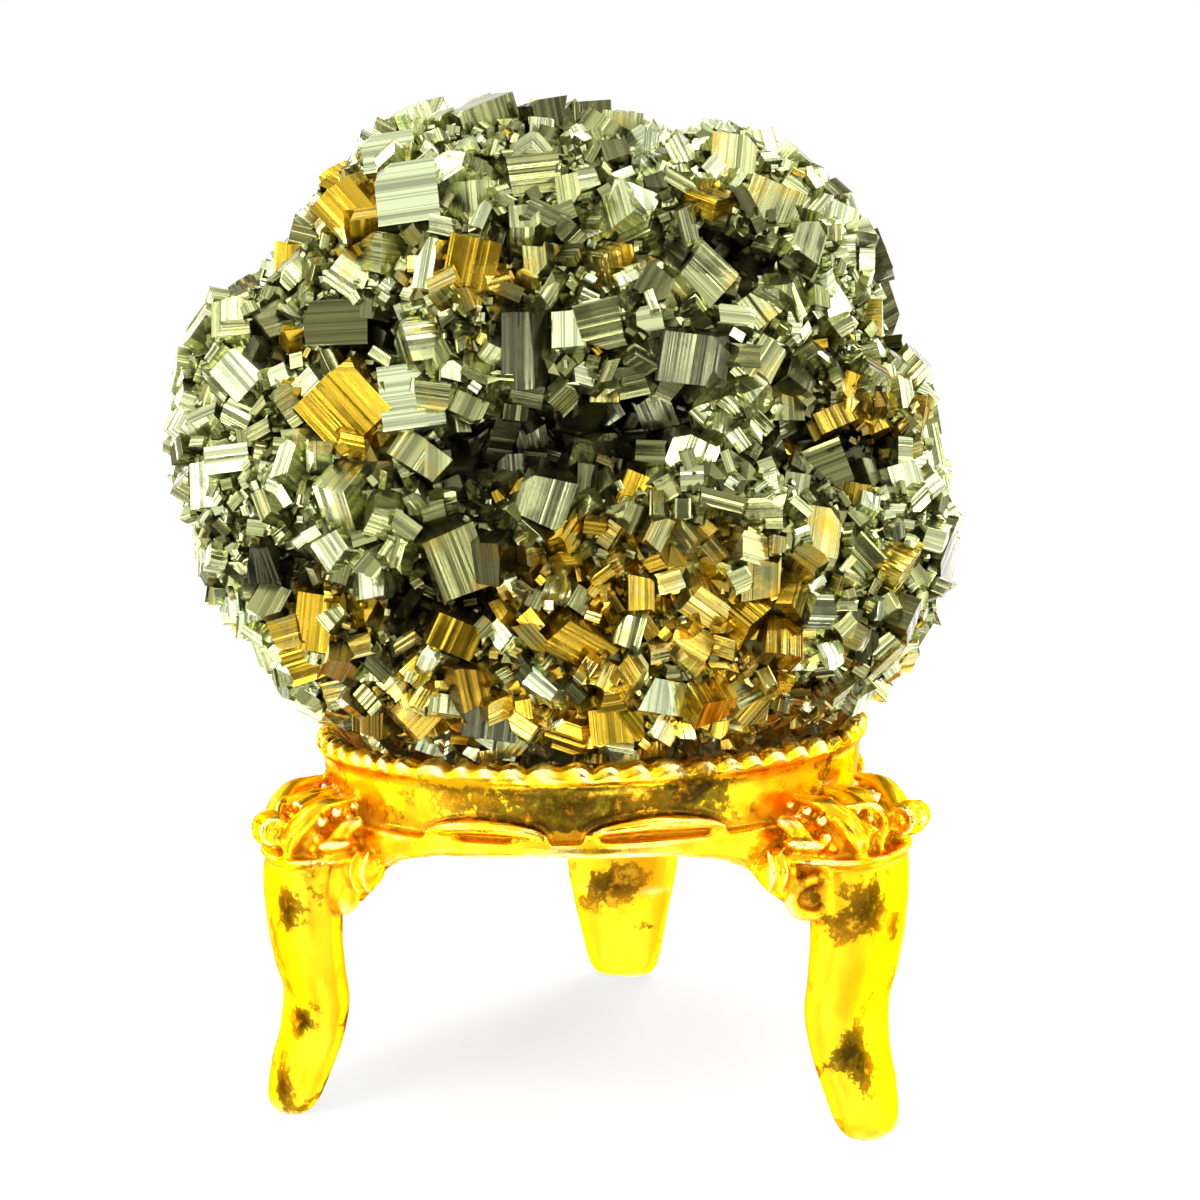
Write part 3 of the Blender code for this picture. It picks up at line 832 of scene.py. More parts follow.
def makeCurl(place, outer, thick):
    # the end of a scroll: a raised rim with a ball in its middle
    selectNothing()
    bpy.ops.mesh.primitive_torus_add(
        major_radius=outer, minor_radius=thick, major_segments=28, minor_segments=10, location=place,
        rotation=(math.pi / 2, 0, 0))
    return [bpy.context.object, makeBall(place, (thick * knee["curlBall"],) * 3)]


def joinPieces(name, pieces):
    selectNothing()
    for piece in pieces:
        piece.select_set(True)
    bpy.context.view_layer.objects.active = pieces[0]
    bpy.ops.object.join()
    joined = bpy.context.object
    bpy.ops.object.transform_apply(location=True, rotation=True, scale=True)
    joined.name = name
    return joined


def copyTurned(piece, angle):
    copied = addObject(piece.name, piece.data.copy())
    copied.data.transform(Matrix.Rotation(angle, 4, "Z"))
    return copied


ring = {
    # distance from the axis and height: along the bottom, up the band, over the rim and down the seat
    "profile": [
        (16, 21.4), (19.6, 21.25), (20.35, 21.3), (20.6, 21.55), (20.6, 22.0), (20.2, 22.25), (20.2, 23.0),
        (20.35, 24.2), (20.45, 25.3), (20.6, 25.8), (20.9, 26.1), (21.0, 26.5), (20.9, 26.95), (20.5, 27.25),
        (19.95, 27.3), (19.5, 27.0), (17.6, 25.1), (16, 23.6),
    ],
    "waves": 62,
    "stepsPerWave": 6,
    "waveHeight": 0.55,
    "waveLean": 0.1,
    # height where the waves begin, and how far above it they are at their full size
    "waveFoot": 26.0,
    "waveRise": 0.8,
    # how much the waves' spacing and size vary round the rim
    "waveSway": 4,
    "swaySize": 3,
    "sizeVaries": 0.35,
    "waveRoundness": 0.7,
}


def makeRing():
    selectNothing()
    bpy.ops.mesh.primitive_plane_add(size=1)
    piece = startEditing()
    bpy.ops.mesh.merge(type="CENTER")
    outline = ring["profile"] + ring["profile"][:1]
    bpy.ops.transform.translate(value=(outline[0][0], 0, outline[0][1]))
    for (r0, z0), (r1, z1) in zip(outline, outline[1:]):
        bpy.ops.mesh.extrude_region_move(TRANSFORM_OT_translate={"value": (r1 - r0, 0, z1 - z0)})
    bpy.ops.mesh.select_all(action="SELECT")
    steps = ring["waves"] * ring["stepsPerWave"]
    bpy.ops.mesh.spin(steps=steps, angle=2 * math.pi, center=(0, 0, 0), axis=(0, 0, 1))
    bpy.ops.mesh.select_all(action="SELECT")
    bpy.ops.mesh.remove_doubles(threshold=0.001)
    endEditing()
    for vert in piece.data.vertices:
        # the rim's edge rises and falls in small waves, none quite like the next
        share = min(max((vert.co.z - ring["waveFoot"]) / ring["waveRise"], 0), 1)
        angle = math.atan2(vert.co.y, vert.co.x)
        sway = noise.noise(Vector((math.cos(angle), math.sin(angle), 0)) * ring["swaySize"])
        turn = angle * ring["waves"] + sway * ring["waveSway"]
        size = share * (1 + noise.noise(vert.co * ring["sizeVaries"]))
        wave = abs(math.cos(turn / 2)) ** ring["waveRoundness"] - 0.8
        vert.co.z += wave * ring["waveHeight"] * size
        flat = Vector((vert.co.x, vert.co.y, 0)).normalized()
        vert.co += flat * math.sin(turn + 0.6) * ring["waveLean"] * size
    return piece


leg = {
    # height, distance from the axis, width across and thickness
    "stations": [
        (19.7, 22.2, 10.2, 5.5), (18.6, 22.6, 10.2, 5.5), (17, 22.85, 10, 5.2), (13.8, 22.8, 10, 4.8),
        (10.6, 22.4, 9.9, 4.4), (8.4, 22.0, 9.1, 4.2), (5.6, 22.35, 8.0, 4.1), (3.2, 23.1, 7.1, 4.0),
        (1.4, 23.6, 6.3, 3.7), (0.4, 23.9, 5.3, 3.2), (0, 23.95, 4.3, 2.6),
    ],
    "stepsPerStation": 3,
    # how round the leg is: the reach of its corners' rounding as a share of its sides
    "roundness": 0.44,
    "cornerSteps": 7,
}


def makeLeg():
    # a plane with rounded corners, drawn down through the stations
    path = smoothed(leg["stations"], leg["stepsPerStation"])
    height, out, width, thickness = path[0]
    selectNothing()
    bpy.ops.mesh.primitive_plane_add(size=1, location=(out, 0, height))
    piece = startEditing()
    bpy.ops.mesh.bevel(offset=leg["roundness"], segments=leg["cornerSteps"], affect="VERTICES")
    bpy.ops.mesh.select_all(action="SELECT")
    bpy.ops.transform.resize(value=(thickness, width, 1), center_override=(out, 0, height))
    for before, after in zip(path, path[1:]):
        bpy.ops.mesh.extrude_region_move(
            TRANSFORM_OT_translate={"value": (after[1] - before[1], 0, after[0] - before[0])})
        stretch = (after[3] / before[3], after[2] / before[2], 1)
        bpy.ops.transform.resize(value=stretch, center_override=(after[1], 0, after[0]))
    endEditing()
    return piece


# points in the knee are out from the axis, sideways and up, with the radius there for ribs and beads
knee = {
    # places and half sizes of the masses under the ornament
    "block": ((21.3, 0, 20.6), (3.1, 6.2, 2.3)),
    "shelf": ((20.7, 0, 22.5), (0.9, 5.5, 0.95)),
    # the scroll across the front, with a curl at each end
    "roll": [(25.5, 0.9, 21.7, 1.15), (25.65, 1.8, 21.7, 1.3), (25.5, 2.8, 21.7, 1.15)],
    "curls": [(25.6, 0.65, 21.7), (25.6, 3.05, 21.7)],
    "curlOuter": 0.85,
    "curlThick": 0.27,
    "curlBall": 1.35,
    # a thin ridge round a pocket with beads in it, on one side only
    "ridge": [(22.8, -2.6, 22.9, 0.3), (24.2, -0.9, 22.8, 0.34), (24.7, 0.1, 21.6, 0.34),
              (24.6, -0.5, 20.0, 0.3)],
    "pocketBeads": [(24.2, -1.3, 22.0, 0.36), (24.4, -0.9, 21.2, 0.32), (23.6, -2.0, 22.6, 0.3)],
    # a hook below one side only, as it came out of the mould
    "hook": [(23.6, -3.9, 18.3, 0.35), (22.3, -5.4, 18.5, 0.46), (21.5, -6.3, 17.9, 0.48),
             (21.2, -6.6, 16.9, 0.5), (21.7, -6.0, 16.1, 0.5), (22.7, -5.0, 15.9, 0.4)],
    # from here on everything is on both sides
    "ribs": [
        [(20.0, 0.4, 23.4, 0.4), (22.0, 0.6, 23.1, 0.6), (23.6, 1.2, 22.7, 0.6)],
        [(19.9, 4.3, 23.7, 0.35), (21.1, 4.3, 23.5, 0.5), (22.5, 4.1, 23.1, 0.8), (23.7, 3.6, 22.0, 0.95),
         (24.3, 3.0, 20.7, 0.85), (24.2, 2.7, 19.8, 0.5)],
        [(20.3, 6.9, 22.7, 0.4), (21.3, 6.6, 22.1, 0.65), (22.0, 6.1, 21.1, 0.65), (22.2, 5.8, 20.2, 0.4)],
    ],
    "cornice": [(20.9, 7.2, 20.1, 0.24), (22.7, 6.2, 19.9, 0.3), (24.4, 4.1, 19.5, 0.32),
                (25.2, 1.8, 19.4, 0.34), (25.35, -0.2, 19.4, 0.34)],
    "beads": [(21.7, 5.6, 23.1, 0.46), (22.7, 5.3, 22.5, 0.46), (23.0, 5.2, 21.3, 0.46),
              (20.5, 5.7, 23.4, 0.38), (23.2, 4.6, 20.5, 0.4)],
    "almond": ((21.8, 5.9, 20.9), (1.5, 1.7, 0.65)),
    "almondTilt": 0.25,
    "bracket": ((20.1, 6.9, 19.2), (1.4, 1.4, 1.5)),
    "web": ((21.0, 4.9, 17.8), (1.2, 1.15, 2.3)),
    # flutes down the bracket: the turns where they are, in radians, and their radii at an end and midway
    "flutes": (-0.2, 0.5, 1.15),
    "fluteRadii": (0.17, 0.24),
    "fluteSink": 0.08,
}


def makeRib(points, side=1):
    return makeRod([(out, across * side, up, radius) for out, across, up, radius in points])


def makeBead(point, side=1):
    out, across, up, radius = point
    return makeBall((out, across * side, up), (radius,) * 3)


def makeFlutes(side):
    (out, across, up), (deep, wide, high) = knee["bracket"]
    thin, thick = knee["fluteRadii"]
    flutes = []
    for turn in knee["flutes"]:
        x = out + (deep - knee["fluteSink"]) * math.cos(turn)
        y = across + (wide - knee["fluteSink"]) * math.sin(turn)
        points = [(x - 0.5, y - 0.1, up + high, thin), (x, y, up + high * 0.3, thick),
                  (x, y, up - high * 0.3, thick), (x - 0.5, y - 0.2, up - high, thin)]
        flutes.append(makeRib(points, side))
    return flutes


def makeKnee():
    pieces = [makeBall(*knee["block"]), makeBall(*knee["shelf"])]
    pieces += [makeRib(knee["roll"]), makeRib(knee["ridge"]), makeRib(knee["hook"])]
    for place in knee["curls"]:
        pieces += makeCurl(place, knee["curlOuter"], knee["curlThick"])
    pieces += [makeBead(bead) for bead in knee["pocketBeads"]]
    for side in (1, -1):
        pieces += [makeRib(rib, side) for rib in (*knee["ribs"], knee["cornice"])]
        pieces += [makeBead(bead, side) for bead in knee["beads"]]
        tilts = {"almond": knee["almondTilt"] * side, "bracket": 0, "web": 0}
        for name, tilt in tilts.items():
            (out, across, up), radii = knee[name]
            pieces.append(makeBall((out, across * side, up), radii, tilt))
        pieces += makeFlutes(side)
    return pieces


apron = {
    "radius": 20.2,
    "halfThickness": 0.9,
    "halfAngle": 50,
    "top": 22.1,
    "bottom": 21.1,
    # the drop of the lower edge, against the share of the way from the middle of the bay to its end
    "edge": [(0, 0), (0.45, 0.2), (0.66, 1), (0.8, 2.2), (0.9, 4), (1, 5.2)],
    "steps": 60,
    "roundness": 0.25,
    # start and end of the two raised ribbons, in degrees from the middle of the bay, and their rise
    "ribbons": [(5.5, 33, 0.72), (-0.8, -26, 0.6)],
    "ribbonFoot": 22.8,
    "ribbonSink": 0.35,
    "ribbonEnd": 0.2,
    "ribbonRadius": 0.36,
    "ribbonReach": 20.7,
    "ribbonSteps": 8,
}


def edgeDrop(share):
    shares, drops = zip(*apron["edge"])
    return float(np.interp(share, shares, drops))


def makeApron():
    # a strip swept round the bay, its lower edge then lowered towards the legs
    half = math.radians(apron["halfAngle"])
    high = apron["top"] - apron["bottom"]
    selectNothing()
    place = (apron["radius"], 0, (apron["top"] + apron["bottom"]) / 2)
    bpy.ops.mesh.primitive_plane_add(size=1, location=place, rotation=(math.pi / 2, 0, 0))
    strip = startEditing()
    bpy.ops.transform.resize(value=(2 * apron["halfThickness"], 1, high), center_override=place)
    bpy.ops.mesh.bevel(offset=apron["roundness"], segments=3, affect="VERTICES")
    bpy.ops.mesh.select_all(action="SELECT")
    bpy.ops.mesh.spin(steps=apron["steps"], angle=2 * half, center=(0, 0, 0), axis=(0, 0, 1))
    endEditing()
    strip.data.transform(strip.matrix_world)
    strip.matrix_world = Matrix()
    middle = sum((Vector((v.co.x, v.co.y, 0)) for v in strip.data.vertices), Vector())
    strip.data.transform(Matrix.Rotation(-math.atan2(middle.y, middle.x), 4, "Z"))
    for vert in strip.data.vertices:
        share = abs(math.atan2(vert.co.y, vert.co.x)) / half
        low = (apron["top"] - vert.co.z) / high
        vert.co.z -= edgeDrop(share) * low
    pieces = [strip]
    for first, last, rise in apron["ribbons"]:
        points = []
        for step in range(apron["ribbonSteps"] + 1):
            share = step / apron["ribbonSteps"]
            angle = math.radians(first + (last - first) * share)
            swell = math.sin(math.pi * share) ** 0.7
            height = apron["ribbonFoot"] + rise * swell - apron["ribbonSink"]
            reach, radius = apron["ribbonReach"], apron["ribbonEnd"] + apron["ribbonRadius"] * swell
            points.append((reach * math.cos(angle), reach * math.sin(angle), height, radius))
        pieces.append(makeRod(points))
    return pieces


casting = {
    "legAngles": [a - 7.3 for a in (-30, 90, 210)],
    # how far each leg and its knee stand off their place in the row, in x and y
    "legShifts": [(0.5, 0, 0), (0, -1.2, 0), (0.1, 0, 0)],
    "voxel": 0.18,
    "smoothing": 3,
    "hammerSize": 3.5,
    "hammerDepth": 0.14,
    "hammerMiddle": 0.62,
    "triangles": 190000,
    "slopeHeight": 16,
    # a recess is where the surface lies this far below its own smoothed shape
    "recessSteps": 14,
    "recessDepth": 0.12,
    # in units of that depth: where a recess's painted shade starts, where a crest's painted highlight starts
    # and its span, and how much more painted highlight the rim's crests get
    "recessStart": 0.2,
    "crestStart": 1.1,
    "crestSpan": 0.9,
    "rimHeight": 26,
    "rimHighlight": 0.35,
    # each pair of numbers is where something starts and where it is complete
    "seatReach": (20, 19.4),
    "seatHeight": (22.5, 23.5),
    "seatShade": 0.8,
    "bandFoot": (22.4, 22.7),
    "bandTop": (26, 25.6),
    "bandReach": (19.8, 20.9),
    "legHeight": (19.5, 18),
    # middle of a bay in degrees from its leg, and where the band's painted dark reflection reaches about it
    "bayMiddle": 68,
    "darkBandReach": (34, 20),
    "kneeFoot": 19,
    # painted dark reflection: how strongly the legs' patches count
    "legDarkReflection": 1.25,
    # places on the legs with painted dark reflections: leg, sideways, height, and half size each way
    "darkReflectionsOnLegs": [(0, -2.2, 16.4, 2.2, 2.6), (0, 1, 14, 1.5, 2), (0, -2.5, 6, 1.6, 2.4), (1, 0.4, 9, 3, 1.8),
                   (2, 3.2, 15.8, 1.3, 2), (2, 2.7, 7.6, 1, 1), (2, 2, 2.8, 1.2, 1.5)],
}


def gain(values, startAndEnd):
    # 0 where values are at the start and 1 where they are at the end
    start, end = startAndEnd
    return np.clip((values - start) / (end - start), 0, 1)


def belowSmooth(mesh, places, normals):
    # how far each corner lies below the smoothed surface
    edges = np.array([edge.vertices for edge in mesh.edges])
    first = np.concatenate([edges[:, 0], edges[:, 1]])
    last = np.concatenate([edges[:, 1], edges[:, 0]])
    around = np.bincount(first, minlength=len(places))
    smooth = places.copy()
    for step in range(casting["recessSteps"]):
        sums = [np.bincount(first, weights=smooth[last, axis], minlength=len(places)) for axis in range(3)]
        smooth = np.stack(sums, axis=1) / around[:, None]
    return ((smooth - places) * normals).sum(axis=1) / casting["recessDepth"]


def markRecesses(piece):
    # values for every corner: painted shade in grooves and in the seat, painted highlight on crests, painted
    # dark reflections on the band and legs, and where the legs are rougher
    mesh = piece.data
    places, normals = np.empty(len(mesh.vertices) * 3), np.empty(len(mesh.vertices) * 3)
    mesh.vertices.foreach_get("co", places)
    mesh.vertices.foreach_get("normal", normals)
    places, normals = places.reshape(-1, 3), normals.reshape(-1, 3)
    below = belowSmooth(mesh, places, normals)
    reach = np.hypot(places[:, 0], places[:, 1])
    height = places[:, 2] - places[:, 0] * seat["slope"]
    # painted shade in grooves and in the seat
    inSeat = gain(reach, casting["seatReach"]) * gain(height, casting["seatHeight"]) * casting["seatShade"]
    recess = np.maximum(np.clip(below - casting["recessStart"], 0, 1), inSeat)
    # painted highlight on crests, and more on the rim
    crest = (-casting["crestStart"] - below) / casting["crestSpan"]
    raised = np.clip(crest + (height > casting["rimHeight"]) * casting["rimHighlight"], 0, 1)
    # the band gets its painted dark reflection in the middle of each bay
    turn = np.degrees(np.arctan2(places[:, 1], places[:, 0])) - casting["legAngles"][0]
    inner, outer = casting["bandReach"]
    onBand = gain(height, casting["bandFoot"]) * gain(height, casting["bandTop"])
    onBand = onBand * (reach > inner) * (reach < outer)
    darkReflection = onBand * gain(np.abs((turn % 120) - casting["bayMiddle"]), casting["darkBandReach"])
    sideways = reach * np.radians((turn + 60) % 120 - 60)
    nearest = np.round(turn / 120) % 3
    for number, across, up, wide, high in casting["darkReflectionsOnLegs"]:
        off = ((sideways - across) / wide) ** 2 + ((height - up) / high) ** 2
        onLeg = (height < casting["kneeFoot"]) * (nearest == number)
        darkReflection = np.maximum(darkReflection, casting["legDarkReflection"] * np.exp(-off) * onLeg)
    marks = {"recess": recess, "raised": raised, "darkReflection": darkReflection, "satin": gain(height, casting["legHeight"])}
    for name, values in marks.items():
        mesh.attributes.new(name, "FLOAT", "POINT").data.foreach_set("value", values.astype(np.float32))


def reshape(piece, kind, **settings):
    change = piece.modifiers.new("change", kind)
    for key, value in settings.items():
        setattr(change, key, value)
    bpy.ops.object.modifier_apply(modifier="change")


def buildStand():
    corner = joinPieces("corner", [makeLeg()] + makeKnee())
    bay = joinPieces("bay", makeApron())
    pieces = [makeRing()]
    for angle, shift in zip(casting["legAngles"], casting["legShifts"]):
        pieces.append(copyTurned(corner, math.radians(angle)))
        pieces[-1].data.transform(Matrix.Translation(shift))
        pieces.append(copyTurned(bay, math.radians(angle + 60)))
    for original in (corner, bay):
        bpy.data.objects.remove(original)
    piece = joinPieces("standCasting", pieces)
    print("stand pieces joined")
    reshape(piece, "REMESH", mode="VOXEL", voxel_size=casting["voxel"])
    for vert in piece.data.vertices:
        share = min(max(vert.co.z / casting["slopeHeight"], 0), 1)
        vert.co.z += vert.co.x * seat["slope"] * share * share * (3 - 2 * share)
    reshape(piece, "SMOOTH", factor=0.5, iterations=casting["smoothing"])
    hammered = bpy.data.textures.new("hammered", "CLOUDS")
    hammered.noise_scale = casting["hammerSize"]
    hammered.noise_depth = 2
    reshape(piece, "DISPLACE", texture=hammered, texture_coords="LOCAL", strength=casting["hammerDepth"],
            mid_level=casting["hammerMiddle"])
    reshape(piece, "DECIMATE", ratio=casting["triangles"] / countTriangles(piece))
    for vert in piece.data.vertices:
        vert.co.z = max(vert.co.z, 0)
    markRecesses(piece)
    piece.data.transform(Matrix.Translation(ringAxis) @ Matrix.Diagonal((mm, mm, mm, 1)))
    piece.data.shade_smooth()
    print("stand built, triangles:", countTriangles(piece))
    return piece


# Finishes

def newMaterial(name):
    material = bpy.data.materials.new(name)
    material.use_nodes = True
    tree = material.node_tree
    return material, tree, tree.nodes["Principled BSDF"]


def addNode(tree, kind, inputs=(), **settings):
    node = tree.nodes.new(kind)
    for key, value in settings.items():
        setattr(node, key, value)
    for key, value in dict(inputs).items():
        if isinstance(value, bpy.types.NodeSocket):
            tree.links.new(value, node.inputs[key])
        else:
            node.inputs[key].default_value = value
    return node


def addRamp(tree, factor, stops):
    node = addNode(tree, "ShaderNodeValToRGB", {"Fac": factor})
    ramp = node.color_ramp
    while len(ramp.elements) < len(stops):
        ramp.elements.new(0.5)
    for element, (place, colour) in zip(ramp.elements, stops):
        element.position = place
        element.color = (*colour, 1)
    return node.outputs["Color"]


def grey(value):
    return (value, value, value)


def addMath(tree, operation, first, second=0.0, clamp=False):
    node = addNode(tree, "ShaderNodeMath", {0: first, 1: second}, operation=operation, use_clamp=clamp)
    return node.outputs[0]


def addMix(tree, factor, first, second, blend="MIX"):
    # the sockets of a colour mix, by their numbers: 0 factor, 6 and 7 colours, 2 result
    node = addNode(tree, "ShaderNodeMix", {0: factor}, data_type="RGBA", blend_type=blend)
    for index, value in ((6, first), (7, second)):
        if isinstance(value, bpy.types.NodeSocket):
            tree.links.new(value, node.inputs[index])
        else:
            node.inputs[index].default_value = (*value, 1)
    return node.outputs[2]


def addNoise(tree, place, scale, **inputs):
    return addNode(tree, "ShaderNodeTexNoise", {"Vector": place, "Scale": scale, **inputs}).outputs["Fac"]


def addBump(tree, height, depth, strength, **inputs):
    values = {"Height": height, "Distance": depth, "Strength": strength, **inputs}
    return addNode(tree, "ShaderNodeBump", values).outputs["Normal"]


def readValues(tree, *names):
    # the values that the modelling wrote on the mesh
    return [addNode(tree, "ShaderNodeAttribute", attribute_name=name).outputs["Fac"] for name in names]


def objectPlace(tree):
    return addNode(tree, "ShaderNodeTexCoord").outputs["Object"]


def addFacets(tree, along, perMm):
    # a height that goes up and down in straight slopes, as growth steps do, and each slope's own number
    scaled = addMath(tree, "MULTIPLY", along, perMm)
    cell = addMath(tree, "FLOOR", scaled)
    share = addMath(tree, "SUBTRACT", scaled, cell)
    here = addNode(tree, "ShaderNodeTexWhiteNoise", {"W": cell}, noise_dimensions="1D").outputs["Value"]
    nextCell = addMath(tree, "ADD", cell, 1)
    after = addNode(tree, "ShaderNodeTexWhiteNoise", {"W": nextCell}, noise_dimensions="1D").outputs["Value"]
    rise = addMath(tree, "MULTIPLY", addMath(tree, "SUBTRACT", after, here), share)
    return addMath(tree, "ADD", here, rise), here


pyriteFinish = {
    # shade from dark to pale, clean and tarnished
    "clean": [(0, (0.07, 0.07, 0.03)), (0.25, (0.20, 0.20, 0.075)), (0.55, (0.42, 0.435, 0.175)),
              (0.8, (0.62, 0.665, 0.34)), (1, (0.79, 0.87, 0.54))],
    "stained": [(0, (0.10, 0.055, 0.006)), (0.3, (0.36, 0.225, 0.015)), (0.7, (0.68, 0.44, 0.03)),
                (1, (0.88, 0.70, 0.17))],
    # colour of the painted shade in clefts and on the dark front crystals
    "deep": (0.075, 0.077, 0.042),
    "metallic": 0.93,
    "stepsPerMm": 2.6,
    "linesPerMm": 8.5,
    "stepHeight": 0.10 * mm,
    "lineHeight": 0.012 * mm,
    "facetStrength": 0.8,
    # painted shade on the growth steps and lines, standing in for their slopes' darker reflections: how dark
    # a step or a line may be, against its own random number, and how much that counts
    "stepShades": [(0, grey(0.45)), (0.35, grey(1)), (1, grey(1))],
    "stepColour": 0.7,
    "lineShades": [(0, grey(0.3)), (0.3, grey(0.55)), (0.5, grey(1)), (1, grey(1))],
    "lineColour": 0.62,
    "wander": 0.9,
    # the ragged edge of the tarnish: noise and its middle, how far it reaches, and how sharp it is
    "patchScale": 380,
    "patchMiddle": 0.42,
    "patchReach": 1.6,
    "stainStart": 0.4,
    "stainEdge": 2.4,
    "pitScale": 2400,
    "pitDepth": 0.015 * mm,
    "pitStrength": 0.3,
    "gloss": [(0.35, grey(0.1)), (0.7, grey(0.32))],
}


def makePyrite():
    material, tree, shader = newMaterial("pyrite")
    coords = objectPlace(tree)
    shade, tarnish, depth, along = readValues(tree, "shade", "tarnish", "depth", "growthLine")
    # growth lines wander a little, and run as broad steps with finer lines on them
    wander = addNode(tree, "ShaderNodeTexNoise", {"W": along, "Scale": pyriteFinish["wander"]},
                     noise_dimensions="1D").outputs["Fac"]
    warped = addMath(tree, "ADD", along, wander)
    steps, stepNumber = addFacets(tree, warped, pyriteFinish["stepsPerMm"])
    lines, lineNumber = addFacets(tree, warped, pyriteFinish["linesPerMm"])

    clean = addRamp(tree, shade, pyriteFinish["clean"])
    stained = addRamp(tree, shade, pyriteFinish["stained"])
    patches = addNoise(tree, coords, pyriteFinish["patchScale"], Detail=3)
    centred = addMath(tree, "SUBTRACT", patches, pyriteFinish["patchMiddle"])
    spread = addMath(tree, "MULTIPLY", centred, pyriteFinish["patchReach"])
    stain = addMath(tree, "SUBTRACT", addMath(tree, "ADD", tarnish, spread), pyriteFinish["stainStart"])
    colour = addMix(tree, addMath(tree, "MULTIPLY", stain, pyriteFinish["stainEdge"], True), clean, stained)
    # painted shade: each growth step and line is darkened by its own random amount
    for number, name in ((lineNumber, "line"), (stepNumber, "step")):
        shades = addRamp(tree, number, pyriteFinish[name + "Shades"])
        darker = addMix(tree, 1.0, shades, colour, "MULTIPLY")
        colour = addMix(tree, pyriteFinish[name + "Colour"], colour, darker)
    # painted shade: in clefts and on the dark front crystals the colour goes towards near-black
    colour = addMix(tree, depth, colour, pyriteFinish["deep"])
    tree.links.new(colour, shader.inputs["Base Color"])
    shader.inputs["Metallic"].default_value = pyriteFinish["metallic"]

    facet = pyriteFinish["facetStrength"]
    broad = addBump(tree, steps, pyriteFinish["stepHeight"], facet)
    fine = addBump(tree, lines, pyriteFinish["lineHeight"], facet, Normal=broad)
    pits = addNoise(tree, coords, pyriteFinish["pitScale"], Detail=2)
    pitted = addBump(tree, pits, pyriteFinish["pitDepth"], pyriteFinish["pitStrength"], Normal=fine)
    tree.links.new(pitted, shader.inputs["Normal"])
    tree.links.new(addRamp(tree, patches, pyriteFinish["gloss"]), shader.inputs["Roughness"])
    return material


goldFinish = {
    "colours": [(0.30, (0.82, 0.44, 0.008)), (0.45, (1.0, 0.60, 0.014)), (0.7, (1.0, 0.70, 0.024))],
    "mottleScale": 230,
    # painted dark reflections, kept under the stain names: brown patches with ragged edges, spreading further
    # on the marked band and leg places
    "darkReflectionScale": 210,
    "stainEdge": [(0.585, grey(0)), (0.61, grey(0.8)), (0.7, grey(1))],
    "darkReflectionReach": 0.17,
    "stain": [(0.42, (0.02, 0.013, 0.003)), (0.52, (0.05, 0.03, 0.004)), (0.58, (0.24, 0.095, 0.004)),
              (0.67, (0.7, 0.42, 0.02))],
    # painted shade in grooves and in the seat: a darker orange
    "recessed": (0.50, 0.20, 0.005),
    # the plate is warmer in broad areas
    "warmScale": 95,
    "warmEdge": [(0.45, grey(0)), (0.62, grey(0.85))],
    "warm": (1.0, 0.48, 0.008),
    # painted highlight: crests are made pale, for the bright glints on the knees and the rim's wave tops
    "paintedHighlight": (1.0, 0.92, 0.46),
    "fleckScale": 420,
    "glancing": (1.0, 0.55, 0.06, 1),
    # grooves and the seat are made less metallic by this share, part of their painted shade
    "recessDullness": 0.35,
    "hammerScale": 420,
    "bumpDepth": 0.10 * mm,
    "bumpStrength": 0.4,
    "gloss": [(0.32, grey(0.4)), (0.5, grey(0.25)), (0.7, grey(0.2))],
    # the legs are a little rougher than the rest
    "satinRoughness": 0.2,
}


def makeGold():
    material, tree, shader = newMaterial("goldPlate")
    coords = objectPlace(tree)
    recess, raised, darkReflection, satin = readValues(tree, "recess", "raised", "darkReflection", "satin")
    mottle = addNoise(tree, coords, goldFinish["mottleScale"], Detail=5, Roughness=0.62)
    # painted dark reflections: near-black brown blots, spread further on the marked band and leg places
    blots = addNoise(tree, coords, goldFinish["darkReflectionScale"], Detail=9, Roughness=0.7)
    reached = addMath(tree, "ADD", blots, addMath(tree, "MULTIPLY", darkReflection, goldFinish["darkReflectionReach"]))
    stained = addRamp(tree, reached, goldFinish["stainEdge"])
    plate = addRamp(tree, mottle, goldFinish["colours"])
    broad = addNoise(tree, coords, goldFinish["warmScale"], Detail=3)
    plate = addMix(tree, addRamp(tree, broad, goldFinish["warmEdge"]), plate, goldFinish["warm"])
    # painted shade in grooves and in the seat, and painted highlight on crests
    plate = addMix(tree, recess, plate, goldFinish["recessed"])
    plate = addMix(tree, raised, plate, goldFinish["paintedHighlight"])
    # the colour inside the painted dark reflections
    fleck = addNoise(tree, coords, goldFinish["fleckScale"], Detail=6, Roughness=0.7)
    patch = addRamp(tree, fleck, goldFinish["stain"])
    tree.links.new(addMix(tree, stained, plate, patch), shader.inputs["Base Color"])
    dulled = addMath(tree, "MULTIPLY", recess, goldFinish["recessDullness"])
    tree.links.new(addMath(tree, "SUBTRACT", 1.0, dulled), shader.inputs["Metallic"])
    shader.inputs["Specular Tint"].default_value = goldFinish["glancing"]
    hammered = addNoise(tree, coords, goldFinish["hammerScale"], Detail=2)
    bump = addBump(tree, hammered, goldFinish["bumpDepth"], goldFinish["bumpStrength"])
    tree.links.new(bump, shader.inputs["Normal"])
    gloss = addRamp(tree, mottle, goldFinish["gloss"])
    rougher = addMath(tree, "MULTIPLY", satin, goldFinish["satinRoughness"])
    tree.links.new(addMath(tree, "ADD", gloss, rougher), shader.inputs["Roughness"])
    return material


# Floor, light and camera

# a round floor, in metres, just under the feet
floorFinish = {
    "radius": 3,
    "under": 0.00002,
    "speckleScale": 30,
    "colours": [(0, (0.87, 0.88, 0.90)), (1, (0.89, 0.90, 0.92))],
    "roughness": 0.9,
}


